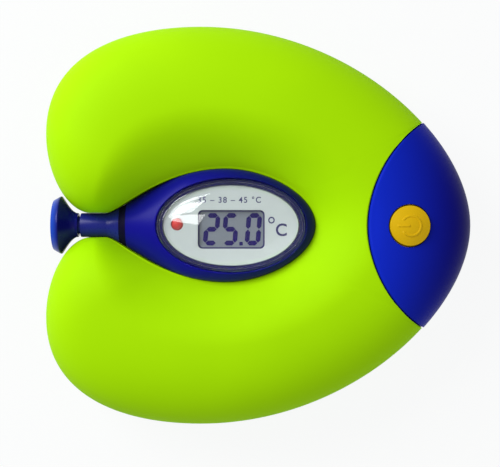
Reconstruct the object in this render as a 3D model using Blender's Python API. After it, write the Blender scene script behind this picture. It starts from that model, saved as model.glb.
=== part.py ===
"""Floating bath thermometer: a hollow two-lobed float with a domed display case in its opening,
a button in its nose cover and a probe knob on the neck between its lobes.

Lengths are in metres. +X points to the nose, +Z up, and the underside rests on z = 0.
Heights named ..._UP and ..._DOWN are measured from the parting plane.
"""

import math

import bmesh
import bpy
import numpy as np
from mathutils import Matrix, Vector

MM = 0.001

# General
WALL = 2.0 * MM
CASE_WALL = 1.6 * MM
CLEARANCE = 0.3 * MM
MID_Z = 14.0 * MM

# Float outline, seen from above: nose, widest point, lobe end and lobe tip
NOSE_X = 54.5 * MM
NOSE_ROUNDNESS = 22.3 * MM
WIDEST_X = -14.8 * MM
HALF_WIDTH = 51.2 * MM
WIDEST_FRONT_PULL = 38.5 * MM
WIDEST_REAR_PULL = 21.9 * MM
LOBE_END_X = -54.7 * MM
LOBE_END_Y = 23.7 * MM
LOBE_OUTER_PULL = 19.6 * MM
LOBE_INNER_PULL = 10.6 * MM
LOBE_TIP_X = -42.6 * MM
LOBE_TIP_PULL = 6.6 * MM
LOBE_TIP_TURN = math.radians(9.0)

# Float section
CROWN_UP = 16.0 * MM
CROWN_DOWN = 14.0 * MM
NOSE_CROWN_UP = 14.2 * MM
NOSE_FALL_FROM = math.radians(75.0)
NOSE_FALL_TO = math.radians(5.0)
CROWN_AT = 0.42
BASE_FROM = 0.36
BASE_TO = 0.56
CROWN_POWER = 2.25
LIP_UP = 6.5 * MM
LIP_ROUND = 0.8 * MM
LOBE_FALL_FROM = math.radians(148.0)
LOBE_END_SHARE = 0.16
CAVITY_END = math.radians(165.0)

# Nose cover
HEAD_CUT_AHEAD = 1.5 * MM
HEAD_CUT_X = NOSE_X + HEAD_CUT_AHEAD
HEAD_CUT_RADIUS = 29.6 * MM
HEAD_PROUD = 0.3 * MM
HEAD_GAP = 0.35 * MM

# Display case outline, seen from above
CASE_CENTRE_X = -8.5 * MM
CASE_FRONT_X = 14.3 * MM
CASE_HALF_WIDTH = 14.3 * MM
CASE_FRONT_ROUND = 7.5 * MM
CASE_FRONT_PULL = 11.0 * MM
CASE_REAR_PULL = 16.4 * MM
CASE_NECK_X = -39.5 * MM
CASE_NECK_PULL = 3.85 * MM
NECK_RADIUS = 3.12 * MM
CASE_SIDE_UP = 6.2 * MM
CASE_DOME = 6.3 * MM
CASE_REAR_X = -34.1 * MM
CASE_SWELL_TO = -17.0 * MM

# Neck, seal ring and probe knob, turned about the long axis
NECK_REAR_X = -46.0 * MM
NECK_FRONT_X = -36.4 * MM
NECK_BORE = 1.15 * MM
NECK_SPIGOT_RADIUS = 2.2 * MM
NECK_SPIGOT_LENGTH = 2.7 * MM
NECK_PLUG_RADIUS = 2.4 * MM
NECK_PLUG_FRONT_X = -31.6 * MM
SEAL_RING_RECESS = 0.2 * MM
KNOB_REAR_X = -53.8 * MM
KNOB_FRONT_X = -46.6 * MM
KNOB_RADIUS = 7.46 * MM
KNOB_FACE_RADIUS = 6.5 * MM
KNOB_FACE_X = -52.8 * MM
KNOB_RIM_X = -50.9 * MM
KNOB_WAIST_RADIUS = 3.15 * MM
KNOB_WAIST_LENGTH = 0.5 * MM
KNOB_WAIST_PULL = 2.0 * MM
KNOB_RIM_PULL = 1.6 * MM
KNOB_CONE_PULL = 1.1 * MM
EDGE_BEVEL = 0.25 * MM
THERMISTOR_RADIUS = 0.9 * MM
THERMISTOR_LENGTH = 2.2 * MM
LEAD_RADIUS = 0.35 * MM
LEAD_SPACING = 0.55 * MM

# Window
WINDOW_X = -7.1 * MM
LENS_HALF_LENGTH = 18.6 * MM
LENS_HALF_WIDTH = 11.6 * MM
LENS_WALL = 1.4 * MM
LENS_SEAT_UP = 8.5 * MM
LENS_EDGE = 1.1 * MM
LENS_BEVEL = 0.3
LENS_FLANGE = 1.5 * MM
LENS_RISE = 4.0 * MM
SIGHT_MARGIN = 1.5 * MM
SIGHT_HALF_LENGTH = LENS_HALF_LENGTH - SIGHT_MARGIN
SIGHT_HALF_WIDTH = LENS_HALF_WIDTH - SIGHT_MARGIN
GASKET_THICKNESS = 0.6 * MM
LEDGE_THICKNESS = 1.3 * MM

# Face plate, display and alarm light
FACE_THICKNESS = 0.8 * MM
FACE_TOP_UP = 7.2 * MM
DISPLAY_X = -6.9 * MM
DISPLAY_Y = -1.05 * MM
DISPLAY_WINDOW_LENGTH = 17.0 * MM
DISPLAY_WINDOW_WIDTH = 9.7 * MM
DISPLAY_WINDOW_ROUND = 1.2 * MM
DISPLAY_LENGTH = 20.0 * MM
DISPLAY_WIDTH = 12.4 * MM
DISPLAY_THICKNESS = 1.6 * MM
STRIP_WIDTH = 1.8 * MM
STRIP_END_MARGIN = 1.0 * MM
LIGHT_INSET = 3.7 * MM
LIGHT_X = WINDOW_X - SIGHT_HALF_LENGTH + LIGHT_INSET
LIGHT_Y = 0.3 * MM
LIGHT_RADIUS = 1.5 * MM
LIGHT_FLANGE = 0.3 * MM
LIGHT_FLANGE_HEIGHT = 0.8 * MM
LIGHT_TOP_UP = 7.9 * MM

# Electronics
BOARD_THICKNESS = 1.2 * MM
BOARD_UNDER_UP = 0.6 * MM
BOARD_REAR_X = -24.5 * MM
BOARD_FRONT_X = 7.5 * MM
BOARD_MARGIN = 2.4 * MM
CHIP_RADIUS = 3.2 * MM
CHIP_HEIGHT = 1.5 * MM
CHIP_X = -3.5 * MM
POST_RADIUS = 1.5 * MM
POST_SPREAD_X = 12.0 * MM
POST_SPREAD_Y = 6.4 * MM

# Battery bay in the underside of the case, depths below the parting plane
BAY_X = -7.5 * MM
CELL_RADIUS = 5.8 * MM
CELL_HEIGHT = 5.4 * MM
CELL_SPACING = 12.1 * MM
CELL_TOP_DOWN = 3.5 * MM
CONTACT_THICKNESS = 0.25 * MM
CONTACT_LENGTH = 8.0 * MM
CONTACT_WIDTH = 5.0 * MM
BRIDGE_LENGTH = 17.0 * MM
BAY_ROOF = 1.0 * MM
BAY_WALL = 1.6 * MM
SEAL_WIDTH = 1.2 * MM
SEAL_THICKNESS = 0.6 * MM
DOOR_HALF_LENGTH = 16.4 * MM
DOOR_HALF_WIDTH = 7.4 * MM
DOOR_SCREW_SPREAD = 14.0 * MM
DOOR_SCREW_FACE_DOWN = 10.45 * MM
DOOR_SCREW_LENGTH = 4.6 * MM

# Button stack, along the button's own axis
BUTTON_SETBACK = 10.5 * MM
BUTTON_X = HEAD_CUT_X - HEAD_CUT_RADIUS + BUTTON_SETBACK
BUTTON_RADIUS = 4.98 * MM
BUTTON_GAP = 0.32 * MM
BUTTON_RISE = 1.35 * MM
BUTTON_SIDE_RISE = 0.45 * MM
BUTTON_WALL = 1.3 * MM
BUTTON_TRAVEL = 0.6 * MM
BUTTON_FLANGE = 0.8 * MM
BUTTON_FLANGE_HEIGHT = 0.9 * MM
BUTTON_STEM_RADIUS = 1.5 * MM
BUTTON_STEM_LENGTH = 1.6 * MM
BUTTON_SEAL_WIDTH = 1.0 * MM
BUTTON_SEAL_HEIGHT = 1.2 * MM
COLLAR_WALL = 0.8 * MM
COLLAR_HEIGHT = 1.8 * MM
PLUNGER_RADIUS = 1.6 * MM
PLUNGER_LENGTH = 2.1 * MM
PLUNGER_SHOWS = 0.9 * MM
SWITCH_SIDE = 6.2 * MM
SWITCH_CORNER = 0.5 * MM
SWITCH_HEIGHT = 3.4 * MM
SWITCH_BOARD_LENGTH = 10.0 * MM
SWITCH_BOARD_TO_BOSS = 0.9 * MM
SWITCH_BOARD_ROUND = 1.5 * MM
SWITCH_BOARD_THICKNESS = 1.0 * MM
SWITCH_POST_INSET = 2.2 * MM
SWITCH_POST_RADIUS = 1.9 * MM

# Screws
SCREW_RADIUS = 1.25 * MM
SCREW_HEAD_RADIUS = 2.4 * MM
SCREW_HEAD_HEIGHT = 1.8 * MM
SCREW_GRIP = 6.0 * MM
SCREW_SEAT_DEPTH = 3.2 * MM
BOSS_RADIUS = 3.9 * MM
REAR_SCREW_X = -27.0 * MM
REAR_SCREW_Y = 30.0 * MM
FRONT_SCREW_X = 13.5 * MM
FRONT_SCREW_Y = 28.5 * MM
HEAD_SCREW_INSET = 0.2 * MM
HEAD_SCREW_TURN = math.radians(42.7)
SMALL_SCREW_RADIUS = 0.8 * MM
SMALL_HEAD_RADIUS = 1.5 * MM
SMALL_HEAD_HEIGHT = 0.9 * MM
SMALL_SCREW_GRIP = 3.2 * MM
RECESS_WIDTH = 0.28
RECESS_DEPTH = 0.5

# Leads from the case to the button's board
PORT_RADIUS = 1.9 * MM
PORT_DOWN = 4.2 * MM
SWITCH_LEAD_RADIUS = 0.55 * MM
SWITCH_LEAD_SPACING = 1.5 * MM
LEAD_DROP_SETBACK = 1.5 * MM
LEAD_CHANNEL_ROOM = 0.9 * MM

# Shells whose cuts share planes with their rims, where the exact solver leaves open edges
CLOSED_SHELLS = ("upper_float_shell", "lower_float_shell", "head_cover", "head_base")

# Smoothness: steps along the outlines and across the sections, outside and inside a shell
RING_SIDES = 20
CUT_SIDES = 48
WINDOW_SIDES = 28
SMALL_SIDES = 10
LEAD_STEPS = 2
FLOAT_STEPS = (7, 7, 9)
FLOAT_CROWN_STEPS = (3, 6)
CAVITY_STEPS = (4, 3, 4)
CAVITY_CROWN_STEPS = (2, 3)


def clear_scene():
    for old in list(bpy.data.objects):
        bpy.data.objects.remove(old, do_unlink=True)


def plastic(name, colour, roughness=0.35, metallic=0.0, transmission=0.0):
    made = bpy.data.materials.new(name)
    made.use_nodes = True
    shader = made.node_tree.nodes["Principled BSDF"]
    shader.inputs["Base Color"].default_value = (*colour, 1.0)
    shader.inputs["Roughness"].default_value = roughness
    shader.inputs["Metallic"].default_value = metallic
    shader.inputs["Transmission Weight"].default_value = transmission
    return made


def to_object(name, bm, material=None, parent=None, sharp=30.0):
    """A mesh object from a bmesh, shaded smooth except across edges sharper than the angle."""
    bmesh.ops.recalc_face_normals(bm, faces=bm.faces)
    mesh = bpy.data.meshes.new(name)
    bm.to_mesh(mesh)
    bm.free()
    mesh.shade_smooth()
    mesh.set_sharp_from_angle(angle=math.radians(sharp))
    made = bpy.data.objects.new(name, mesh)
    if material:
        mesh.materials.append(material)
    bpy.context.scene.collection.objects.link(made)
    made.parent = parent
    return made


def hide_cutter(cutter):
    cutter.hide_render = True
    cutter.display_type = "WIRE"


def boolean(target, tool, operation):
    step = target.modifiers.new(operation.lower() + "_" + tool.name, "BOOLEAN")
    step.operation = operation
    step.object = tool
    step.solver = "MANIFOLD" if target.name in CLOSED_SHELLS else "EXACT"
    hide_cutter(tool)


def cut(target, *tools):
    for tool in tools:
        boolean(target, tool, "DIFFERENCE")


def join(target, *tools):
    for tool in tools:
        boolean(target, tool, "UNION")


def keep_inside(target, tool):
    boolean(target, tool, "INTERSECT")


def loft(sections):
    """A closed solid through a row of closed sections with equal numbers of points."""
    bm = bmesh.new()
    rings = [[bm.verts.new(p) for p in section] for section in sections]
    count = len(rings[0])
    for near, far in zip(rings, rings[1:]):
        for i in range(count):
            j = (i + 1) % count
            bm.faces.new((near[i], near[j], far[j], far[i]))
    bm.faces.new(list(reversed(rings[0])))
    bm.faces.new(rings[-1])
    return bm


def prism(points, low, high):
    """An upright solid with the given outline between two heights."""
    return loft([[(x, y, low) for x, y in points], [(x, y, high) for x, y in points]])


def skin(bm, rings, sides):
    """Faces from each ring of points to the next, and from the last to the first unless both are poles."""
    pairs = list(zip(rings, rings[1:]))
    if len(rings[0]) > 1 or len(rings[-1]) > 1:
        pairs.append((rings[-1], rings[0]))
    for near, far in pairs:
        for k in range(sides):
            n = (k + 1) % sides
            corners = [near[k % len(near)], near[n % len(near)], far[n % len(far)], far[k % len(far)]]
            unique = list(dict.fromkeys(corners))
            if len(unique) > 2:
                bm.faces.new(unique)
    return bm


def turned(profile, sides=RING_SIDES):
    """A closed profile of (radius, height) points turned about the local Z axis.
    A point with no radius becomes a single point on the axis."""
    bm = bmesh.new()
    rings = []
    for radius, height in profile:
        if radius < 1e-9:
            rings.append([bm.verts.new((0.0, 0.0, height))])
            continue
        angles = [2 * math.pi * k / sides for k in range(sides)]
        rings.append([bm.verts.new((radius * math.cos(a), radius * math.sin(a), height)) for a in angles])
    return skin(bm, rings, sides)


def cylinder(radius, low, high, sides=RING_SIDES):
    return turned([(0, low), (radius, low), (radius, high), (0, high)], sides)


def moved(bm, x=0.0, y=0.0, z=0.0):
    bmesh.ops.translate(bm, verts=bm.verts, vec=(x, y, z))
    return bm


def along_x(bm):
    """Turns a solid made about Z so that its axis lies along +X, at the height of the parting plane."""
    turn = Matrix(((0, 0, 1), (0, 1, 0), (-1, 0, 0)))
    bmesh.ops.rotate(bm, verts=bm.verts, cent=(0, 0, 0), matrix=turn)
    return moved(bm, z=MID_Z)


def ellipse(half_length, half_width, centre_x=0.0):
    angles = [2 * math.pi * k / WINDOW_SIDES for k in range(WINDOW_SIDES)]
    return [(centre_x + half_length * math.cos(a), half_width * math.sin(a)) for a in angles]


def rounded_rectangle(half_length, half_width, corner, centre=(0.0, 0.0), steps=5):
    points = []
    for quarter in range(4):
        sx = (1, -1, -1, 1)[quarter]
        sy = (1, 1, -1, -1)[quarter]
        for k in range(steps + 1):
            a = math.pi / 2 * (quarter + k / steps)
            points.append((
                centre[0] + sx * (half_length - corner) + corner * math.cos(a),
                centre[1] + sy * (half_width - corner) + corner * math.sin(a),
            ))
    return points


def bezier(start, pull_start, pull_end, end, steps=60):
    t = np.linspace(0.0, 1.0, steps)[:, None]
    p = [np.array(q) for q in (start, pull_start, pull_end, end)]
    return (1 - t) ** 3 * p[0] + 3 * (1 - t) ** 2 * t * p[1] + 3 * (1 - t) * t**2 * p[2] + t**3 * p[3]


def smooth_step(value, low, high):
    t = min(1.0, max(0.0, (value - low) / (high - low)))
    return t * t * (3 - 2 * t)


def case_outline():
    """Half of the case and neck seen from above, from the front end to the neck."""
    front = bezier(
        (CASE_FRONT_X, 0.0),
        (CASE_FRONT_X, CASE_FRONT_ROUND),
        (CASE_CENTRE_X + CASE_FRONT_PULL, CASE_HALF_WIDTH),
        (CASE_CENTRE_X, CASE_HALF_WIDTH),
    )
    rear = bezier(
        (CASE_CENTRE_X, CASE_HALF_WIDTH),
        (CASE_CENTRE_X - CASE_REAR_PULL, CASE_HALF_WIDTH),
        (CASE_NECK_X + CASE_NECK_PULL, NECK_RADIUS),
        (CASE_NECK_X, NECK_RADIUS),
    )
    return np.vstack([front, rear[1:]])


def float_outline(steps=(60, 60, 60)):
    """Half of the float seen from above, from the nose round the lobe to its tip beside the neck."""
    tip = np.array((LOBE_TIP_X, NECK_RADIUS + CLEARANCE))
    tip_pull = tip + LOBE_TIP_PULL * np.array((-math.cos(LOBE_TIP_TURN), math.sin(LOBE_TIP_TURN)))
    side = bezier(
        (NOSE_X, 0.0),
        (NOSE_X, NOSE_ROUNDNESS),
        (WIDEST_X + WIDEST_FRONT_PULL, HALF_WIDTH),
        (WIDEST_X, HALF_WIDTH),
        steps[0] + 1,
    )
    shoulder = bezier(
        (WIDEST_X, HALF_WIDTH),
        (WIDEST_X - WIDEST_REAR_PULL, HALF_WIDTH),
        (LOBE_END_X, LOBE_END_Y + LOBE_OUTER_PULL),
        (LOBE_END_X, LOBE_END_Y),
        steps[1] + 1,
    )
    lobe = bezier(
        (LOBE_END_X, LOBE_END_Y),
        (LOBE_END_X, LOBE_END_Y - LOBE_INNER_PULL),
        tip_pull,
        tip,
        steps[2] + 1,
    )
    return np.vstack([side, shoulder[1:], lobe[1:]])


CASE_LINE = case_outline()
FLOAT_LINE = float_outline()


def polar(line):
    angles = np.arctan2(line[:, 1], line[:, 0] - CASE_CENTRE_X)
    return angles, np.hypot(line[:, 0] - CASE_CENTRE_X, line[:, 1])


def reach(line, angle):
    """Distance from the case's centre to an outline, in the direction of an angle from +X."""
    angles, distances = polar(line)
    return float(np.interp(abs(angle), angles, distances))


def tip_angle():
    return float(min(polar(FLOAT_LINE)[0][-1], polar(CASE_LINE)[0][-1]))


def lobe_share(angle):
    """The part of the full height left in the section at an angle: it falls away round the lobe's end."""
    u = (abs(angle) - LOBE_FALL_FROM) / (tip_angle() - LOBE_FALL_FROM)
    u = min(1.0, max(0.0, u))
    return LOBE_END_SHARE + (1 - LOBE_END_SHARE) * math.sqrt(1 - u * u)


def crown_height(side, angle):
    """Height of the float's crown over the parting plane: the top comes down a little towards the nose."""
    if side < 0:
        return CROWN_DOWN
    rise = smooth_step(abs(angle), NOSE_FALL_TO, NOSE_FALL_FROM)
    return NOSE_CROWN_UP + (CROWN_UP - NOSE_CROWN_UP) * rise


def float_section(angle, height, flat, inset, grow, low):
    """Half of the float's section at one angle, as (distance from the case's centre, height) points.
    It runs from the foot of the inner wall over the lip and the crown to the rim at the parting plane."""
    share = lobe_share(angle)
    inner = reach(CASE_LINE, angle) + CLEARANCE + inset
    outer = reach(FLOAT_LINE, angle) + grow - inset
    top = height * share + grow - inset
    lip = min(LIP_UP * share, 0.75 * height * share) - inset
    first = inner + flat[0] * (outer - inner)
    last = inner + flat[1] * (outer - inner)
    start = inner + LIP_ROUND
    rise, fall = CAVITY_CROWN_STEPS if inset else FLOAT_CROWN_STEPS
    points = [(inner, low), (inner, lip - LIP_ROUND)]
    if not inset:
        points.append((inner + 0.3 * LIP_ROUND, lip - 0.3 * LIP_ROUND))
    for k in range(rise):
        t = k / rise
        points.append((start + (first - start) * t, lip + (top - lip) * math.sin(t * math.pi / 2)))
    points.append((first, top))
    for k in range(0 if last > first else 1, fall):
        a = math.pi / 2 * k / fall
        points.append((
            last + (outer - last) * math.sin(a) ** (2 / CROWN_POWER),
            top * math.cos(a) ** (2 / CROWN_POWER),
        ))
    points.append((outer, low))
    return points


def float_half(side, inset=0.0, grow=0.0, end=None):
    """The upper (side 1) or lower (side -1) half of the float's form as one solid."""
    end = end or tip_angle()
    flat = (CROWN_AT, CROWN_AT) if side > 0 else (BASE_FROM, BASE_TO)
    low = -WALL if inset else CLEARANCE / 2
    angles = [float(a) for a in polar(float_outline(CAVITY_STEPS if inset else FLOAT_STEPS))[0] if a < end]
    if end < LOBE_FALL_FROM:
        angles = [(a + b) / 2 * k + a * (1 - k) for a, b in zip(angles, angles[1:]) for k in (0, 1)]
    angles.append(end)
    angles = [-a for a in reversed(angles[1:])] + angles
    sections = []
    for angle in angles:
        section = float_section(angle, crown_height(side, angle), flat, inset, grow, low)
        sections.append([
            (CASE_CENTRE_X + d * math.cos(angle), d * math.sin(angle), MID_Z + side * h) for d, h in section
        ])
    return loft(sections)


def head_cylinder(name, radius):
    bm = cylinder(radius, -0.01, 0.05, CUT_SIDES)
    return to_object(name, moved(bm, x=HEAD_CUT_X))


def case_half_width(x):
    order = np.argsort(CASE_LINE[:, 0])
    return float(np.interp(x, CASE_LINE[order, 0], CASE_LINE[order, 1]))


def case_sizes(x):
    """Half-width, straight side height and full height of the case at x.
    It is round at the neck and a domed slab ahead."""
    width = case_half_width(x)
    swell = smooth_step(x, CASE_REAR_X, CASE_SWELL_TO)
    straight = CASE_SIDE_UP * swell
    if x > CASE_CENTRE_X:
        along = (x - CASE_CENTRE_X) / (CASE_FRONT_X - CASE_CENTRE_X)
        return width, straight, CASE_SIDE_UP + CASE_DOME * math.sqrt(max(0.0, 1 - along * along))
    flattening = 1 - (CASE_SIDE_UP + CASE_DOME) / CASE_HALF_WIDTH
    return width, straight, width * (1 - flattening * swell)


def case_section(x, width, straight, full, low, side, steps=6):
    """Half of the case's section at x as a closed ring: a dome over straight sides."""
    straight = max(straight, CLEARANCE)
    half = [(width, low)]
    for k in range(steps + 1):
        a = math.pi / 2 * k / steps
        half.append((width * math.cos(a), straight + (full - straight) * math.sin(a)))
    mirrored = [(-y, z) for y, z in reversed(half[:-1])]
    return [(x, y, MID_Z + side * z) for y, z in half + mirrored]


def case_half(side):
    """The upper (side 1) or lower (side -1) half of the case's outer form."""
    length = CASE_FRONT_X - CASE_CENTRE_X
    stations = [CASE_REAR_X + (CASE_CENTRE_X - CASE_REAR_X) * k / 8 for k in range(8)]
    stations += [CASE_CENTRE_X + length * math.sin(math.pi / 2 * k / 8.3) for k in range(9)]
    return loft([case_section(x, *case_sizes(x), CLEARANCE / 2, side) for x in stations])


def case_cavity(side, roof):
    """The hollow of one case half, open at the neck and level with the roof in the middle."""
    length = CASE_FRONT_X - CASE_WALL - CASE_CENTRE_X
    stations = [CASE_REAR_X - WALL]
    stations += [CASE_REAR_X + (CASE_CENTRE_X - CASE_REAR_X) * k / 6 for k in range(6)]
    stations += [CASE_CENTRE_X + length * math.sin(math.pi / 2 * k / 6.4) for k in range(7)]
    sections = []
    for x in stations:
        width, straight, full = case_sizes(max(x, CASE_REAR_X))
        narrow = math.sqrt(max(0.0, 1 - max(0.0, (x - CASE_CENTRE_X) / length) ** 2))
        width = min(width - CASE_WALL, (CASE_HALF_WIDTH - CASE_WALL) * narrow)
        full = min(full - CASE_WALL, roof)
        sections.append(case_section(x, width, min(straight, 0.9 * full), full, -WALL, side, 4))
    return loft(sections)


def outline_inside_case(margin, rear, front, steps=12):
    """A closed outline that follows the case's wall at a margin, between two places along it."""
    upper = []
    for k in range(steps + 1):
        x = rear + (front - rear) * k / steps
        upper.append((x, case_half_width(x) - margin))
    return upper + [(x, -y) for x, y in reversed(upper)]


def stacked_ellipses(levels, centre_x):
    """A solid through loops, each (half length, half width, height). A loop of no size is a pole."""
    bm = bmesh.new()
    rings = []
    for half_length, half_width, height in levels:
        if half_length < 1e-9:
            rings.append([bm.verts.new((centre_x, 0.0, MID_Z + height))])
        else:
            outline = ellipse(half_length, half_width, centre_x)
            rings.append([bm.verts.new((x, y, MID_Z + height)) for x, y in outline])
    return skin(bm, rings, WINDOW_SIDES)


def float_height(side, x, y, grow=0.0):
    """Height of the float's surface over the parting plane at a place seen from above."""
    flat = (CROWN_AT, CROWN_AT) if side > 0 else (BASE_FROM, BASE_TO)
    angle = math.atan2(abs(y), x - CASE_CENTRE_X)
    section = float_section(angle, crown_height(side, angle), flat, 0.0, grow, 0.0)
    distance = math.hypot(x - CASE_CENTRE_X, y)
    return float(np.interp(distance, [d for d, _ in section], [h for _, h in section]))


def boss_reach(side, x, y, radius, grow=0.0):
    """How far a boss runs from the parting plane so that its end stays inside the wall."""
    edges = [(x + radius, y), (x - radius, y), (x, y + radius), (x, y - radius)]
    return min(float_height(side, u, v, grow) for u, v in edges) - 0.4 * WALL


def screw(name, place, radius, length, head_radius, head_height, material, parent=None):
    """A pan-head screw with its head below and a cross recess, standing on its seat at the given place."""
    x, y, z = place
    head = [
        (0, -head_height),
        (0.7 * head_radius, -head_height),
        (head_radius, -0.5 * head_height),
        (head_radius, 0),
        (radius, 0),
        (radius, length - radius),
        (0, length),
    ]
    made = to_object(name, moved(turned(head, SMALL_SIDES), x, y, z), material, parent)
    arm = 0.62 * head_radius
    half = RECESS_WIDTH / 2 * head_radius
    cross = [
        (arm, -half), (arm, half), (half, half), (half, arm), (-half, arm), (-half, half),
        (-arm, half), (-arm, -half), (-half, -half), (-half, -arm), (half, -arm), (half, -half),
    ]
    recess = prism(cross, -2 * head_height, -(1 - RECESS_DEPTH) * head_height)
    cut(made, to_object("recess_" + name, moved(recess, x, y, z), parent=parent))
    return made


def shell_screw_places():
    rear = [(REAR_SCREW_X, side * REAR_SCREW_Y) for side in (1, -1)]
    front = [(FRONT_SCREW_X, side * FRONT_SCREW_Y) for side in (1, -1)]
    return rear + front


def head_screw_places():
    """Places just inside the nose cover's wall, on both sides of the button."""
    radius = HEAD_CUT_RADIUS - BOSS_RADIUS - HEAD_SCREW_INSET
    x = HEAD_CUT_X - radius * math.cos(HEAD_SCREW_TURN)
    y = radius * math.sin(HEAD_SCREW_TURN)
    return [(x, side * y) for side in (1, -1)]


def switch_board_half_width():
    """The button's board fills the room between the two screw bosses of the nose cover."""
    return head_screw_places()[0][1] - BOSS_RADIUS - SWITCH_BOARD_TO_BOSS


def add_bosses(upper, lower, places, grow, steel, label):
    """Screw bosses in both halves, the holes through them and the screws, driven from below."""
    for number, (x, y) in enumerate(places, 1):
        name = f"{label}_{number}"
        top = MID_Z + boss_reach(1, x, y, BOSS_RADIUS, grow)
        bottom = MID_Z - boss_reach(-1, x, y, BOSS_RADIUS, grow)
        hole = SCREW_RADIUS + CLEARANCE
        upper_boss = cylinder(BOSS_RADIUS, MID_Z + CLEARANCE / 2, top, SMALL_SIDES)
        join(upper, to_object(name + "_upper_boss", moved(upper_boss, x, y)))
        lower_boss = cylinder(BOSS_RADIUS, bottom, MID_Z - CLEARANCE / 2, SMALL_SIDES)
        join(lower, to_object(name + "_lower_boss", moved(lower_boss, x, y)))
        pilot = cylinder(hole, MID_Z - WALL, MID_Z + SCREW_GRIP + CLEARANCE, SMALL_SIDES)
        cut(upper, to_object(name + "_pilot", moved(pilot, x, y)))
        bore = turned([
            (0, -WALL),
            (SCREW_HEAD_RADIUS + CLEARANCE, -WALL),
            (SCREW_HEAD_RADIUS + CLEARANCE, SCREW_SEAT_DEPTH),
            (hole, SCREW_SEAT_DEPTH),
            (hole, MID_Z + WALL),
            (0, MID_Z + WALL),
        ], SMALL_SIDES)
        cut(lower, to_object(name + "_bore", moved(bore, x, y)))
        seat = SCREW_SEAT_DEPTH - CLEARANCE
        length = MID_Z + SCREW_GRIP - seat
        screw(name, (x, y, seat), SCREW_RADIUS, length, SCREW_HEAD_RADIUS, SCREW_HEAD_HEIGHT, steel)


def build_float(green, steel):
    nose_cut = head_cylinder("nose_cut", HEAD_CUT_RADIUS + HEAD_GAP)
    nose_wall = head_cylinder("nose_wall", HEAD_CUT_RADIUS + HEAD_GAP + WALL)
    hide_cutter(nose_cut)
    shells = []
    for side, name in ((1, "upper_float_shell"), (-1, "lower_float_shell")):
        shell = to_object(name, float_half(side), green, sharp=50)
        cavity = to_object(name + "_cavity", float_half(side, inset=WALL, end=CAVITY_END))
        cut(cavity, nose_wall)
        cut(shell, nose_cut, cavity)
        shells.append(shell)
    add_bosses(shells[0], shells[1], shell_screw_places(), 0.0, steel, "shell_screw")
    cut(shells[1], lead_port("float_port"))
    return shells


def lead_port(name):
    front = HEAD_CUT_X - HEAD_CUT_RADIUS + 2 * WALL
    bm = cylinder(PORT_RADIUS, CASE_FRONT_X - 2 * CASE_WALL, front, SMALL_SIDES)
    return to_object(name, moved(along_x(bm), z=-PORT_DOWN))


def build_head(blue, steel):
    spread = math.radians(40)
    edge = head_cylinder("head_edge", HEAD_CUT_RADIUS)
    core = head_cylinder("head_core", HEAD_CUT_RADIUS - WALL)
    halves = []
    for side, name in ((1, "head_cover"), (-1, "head_base")):
        proud = HEAD_PROUD if side > 0 else 0.0
        half = to_object(name, float_half(side, grow=proud, end=spread), blue, sharp=50)
        inside = float_half(side, inset=WALL, grow=proud, end=spread)
        cavity = to_object(name + "_cavity", inside)
        keep_inside(cavity, core)
        keep_inside(half, edge)
        cut(half, cavity)
        halves.append(half)
    add_bosses(halves[0], halves[1], head_screw_places(), 0.0, steel, "head_screw")
    cut(halves[1], lead_port("head_port"))
    return halves


def button_frame():
    """An empty on the nose cover's surface whose Z axis is the button's axis."""
    step = 0.5 * MM
    ahead = float_height(1, BUTTON_X + step, 0.0, HEAD_PROUD)
    behind = float_height(1, BUTTON_X - step, 0.0, HEAD_PROUD)
    frame = bpy.data.objects.new("button_axis", None)
    bpy.context.scene.collection.objects.link(frame)
    frame.location = (BUTTON_X, 0.0, MID_Z + float_height(1, BUTTON_X, 0.0, HEAD_PROUD))
    frame.rotation_euler = (0.0, math.atan2(behind - ahead, 2 * step), 0.0)
    return frame


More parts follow.
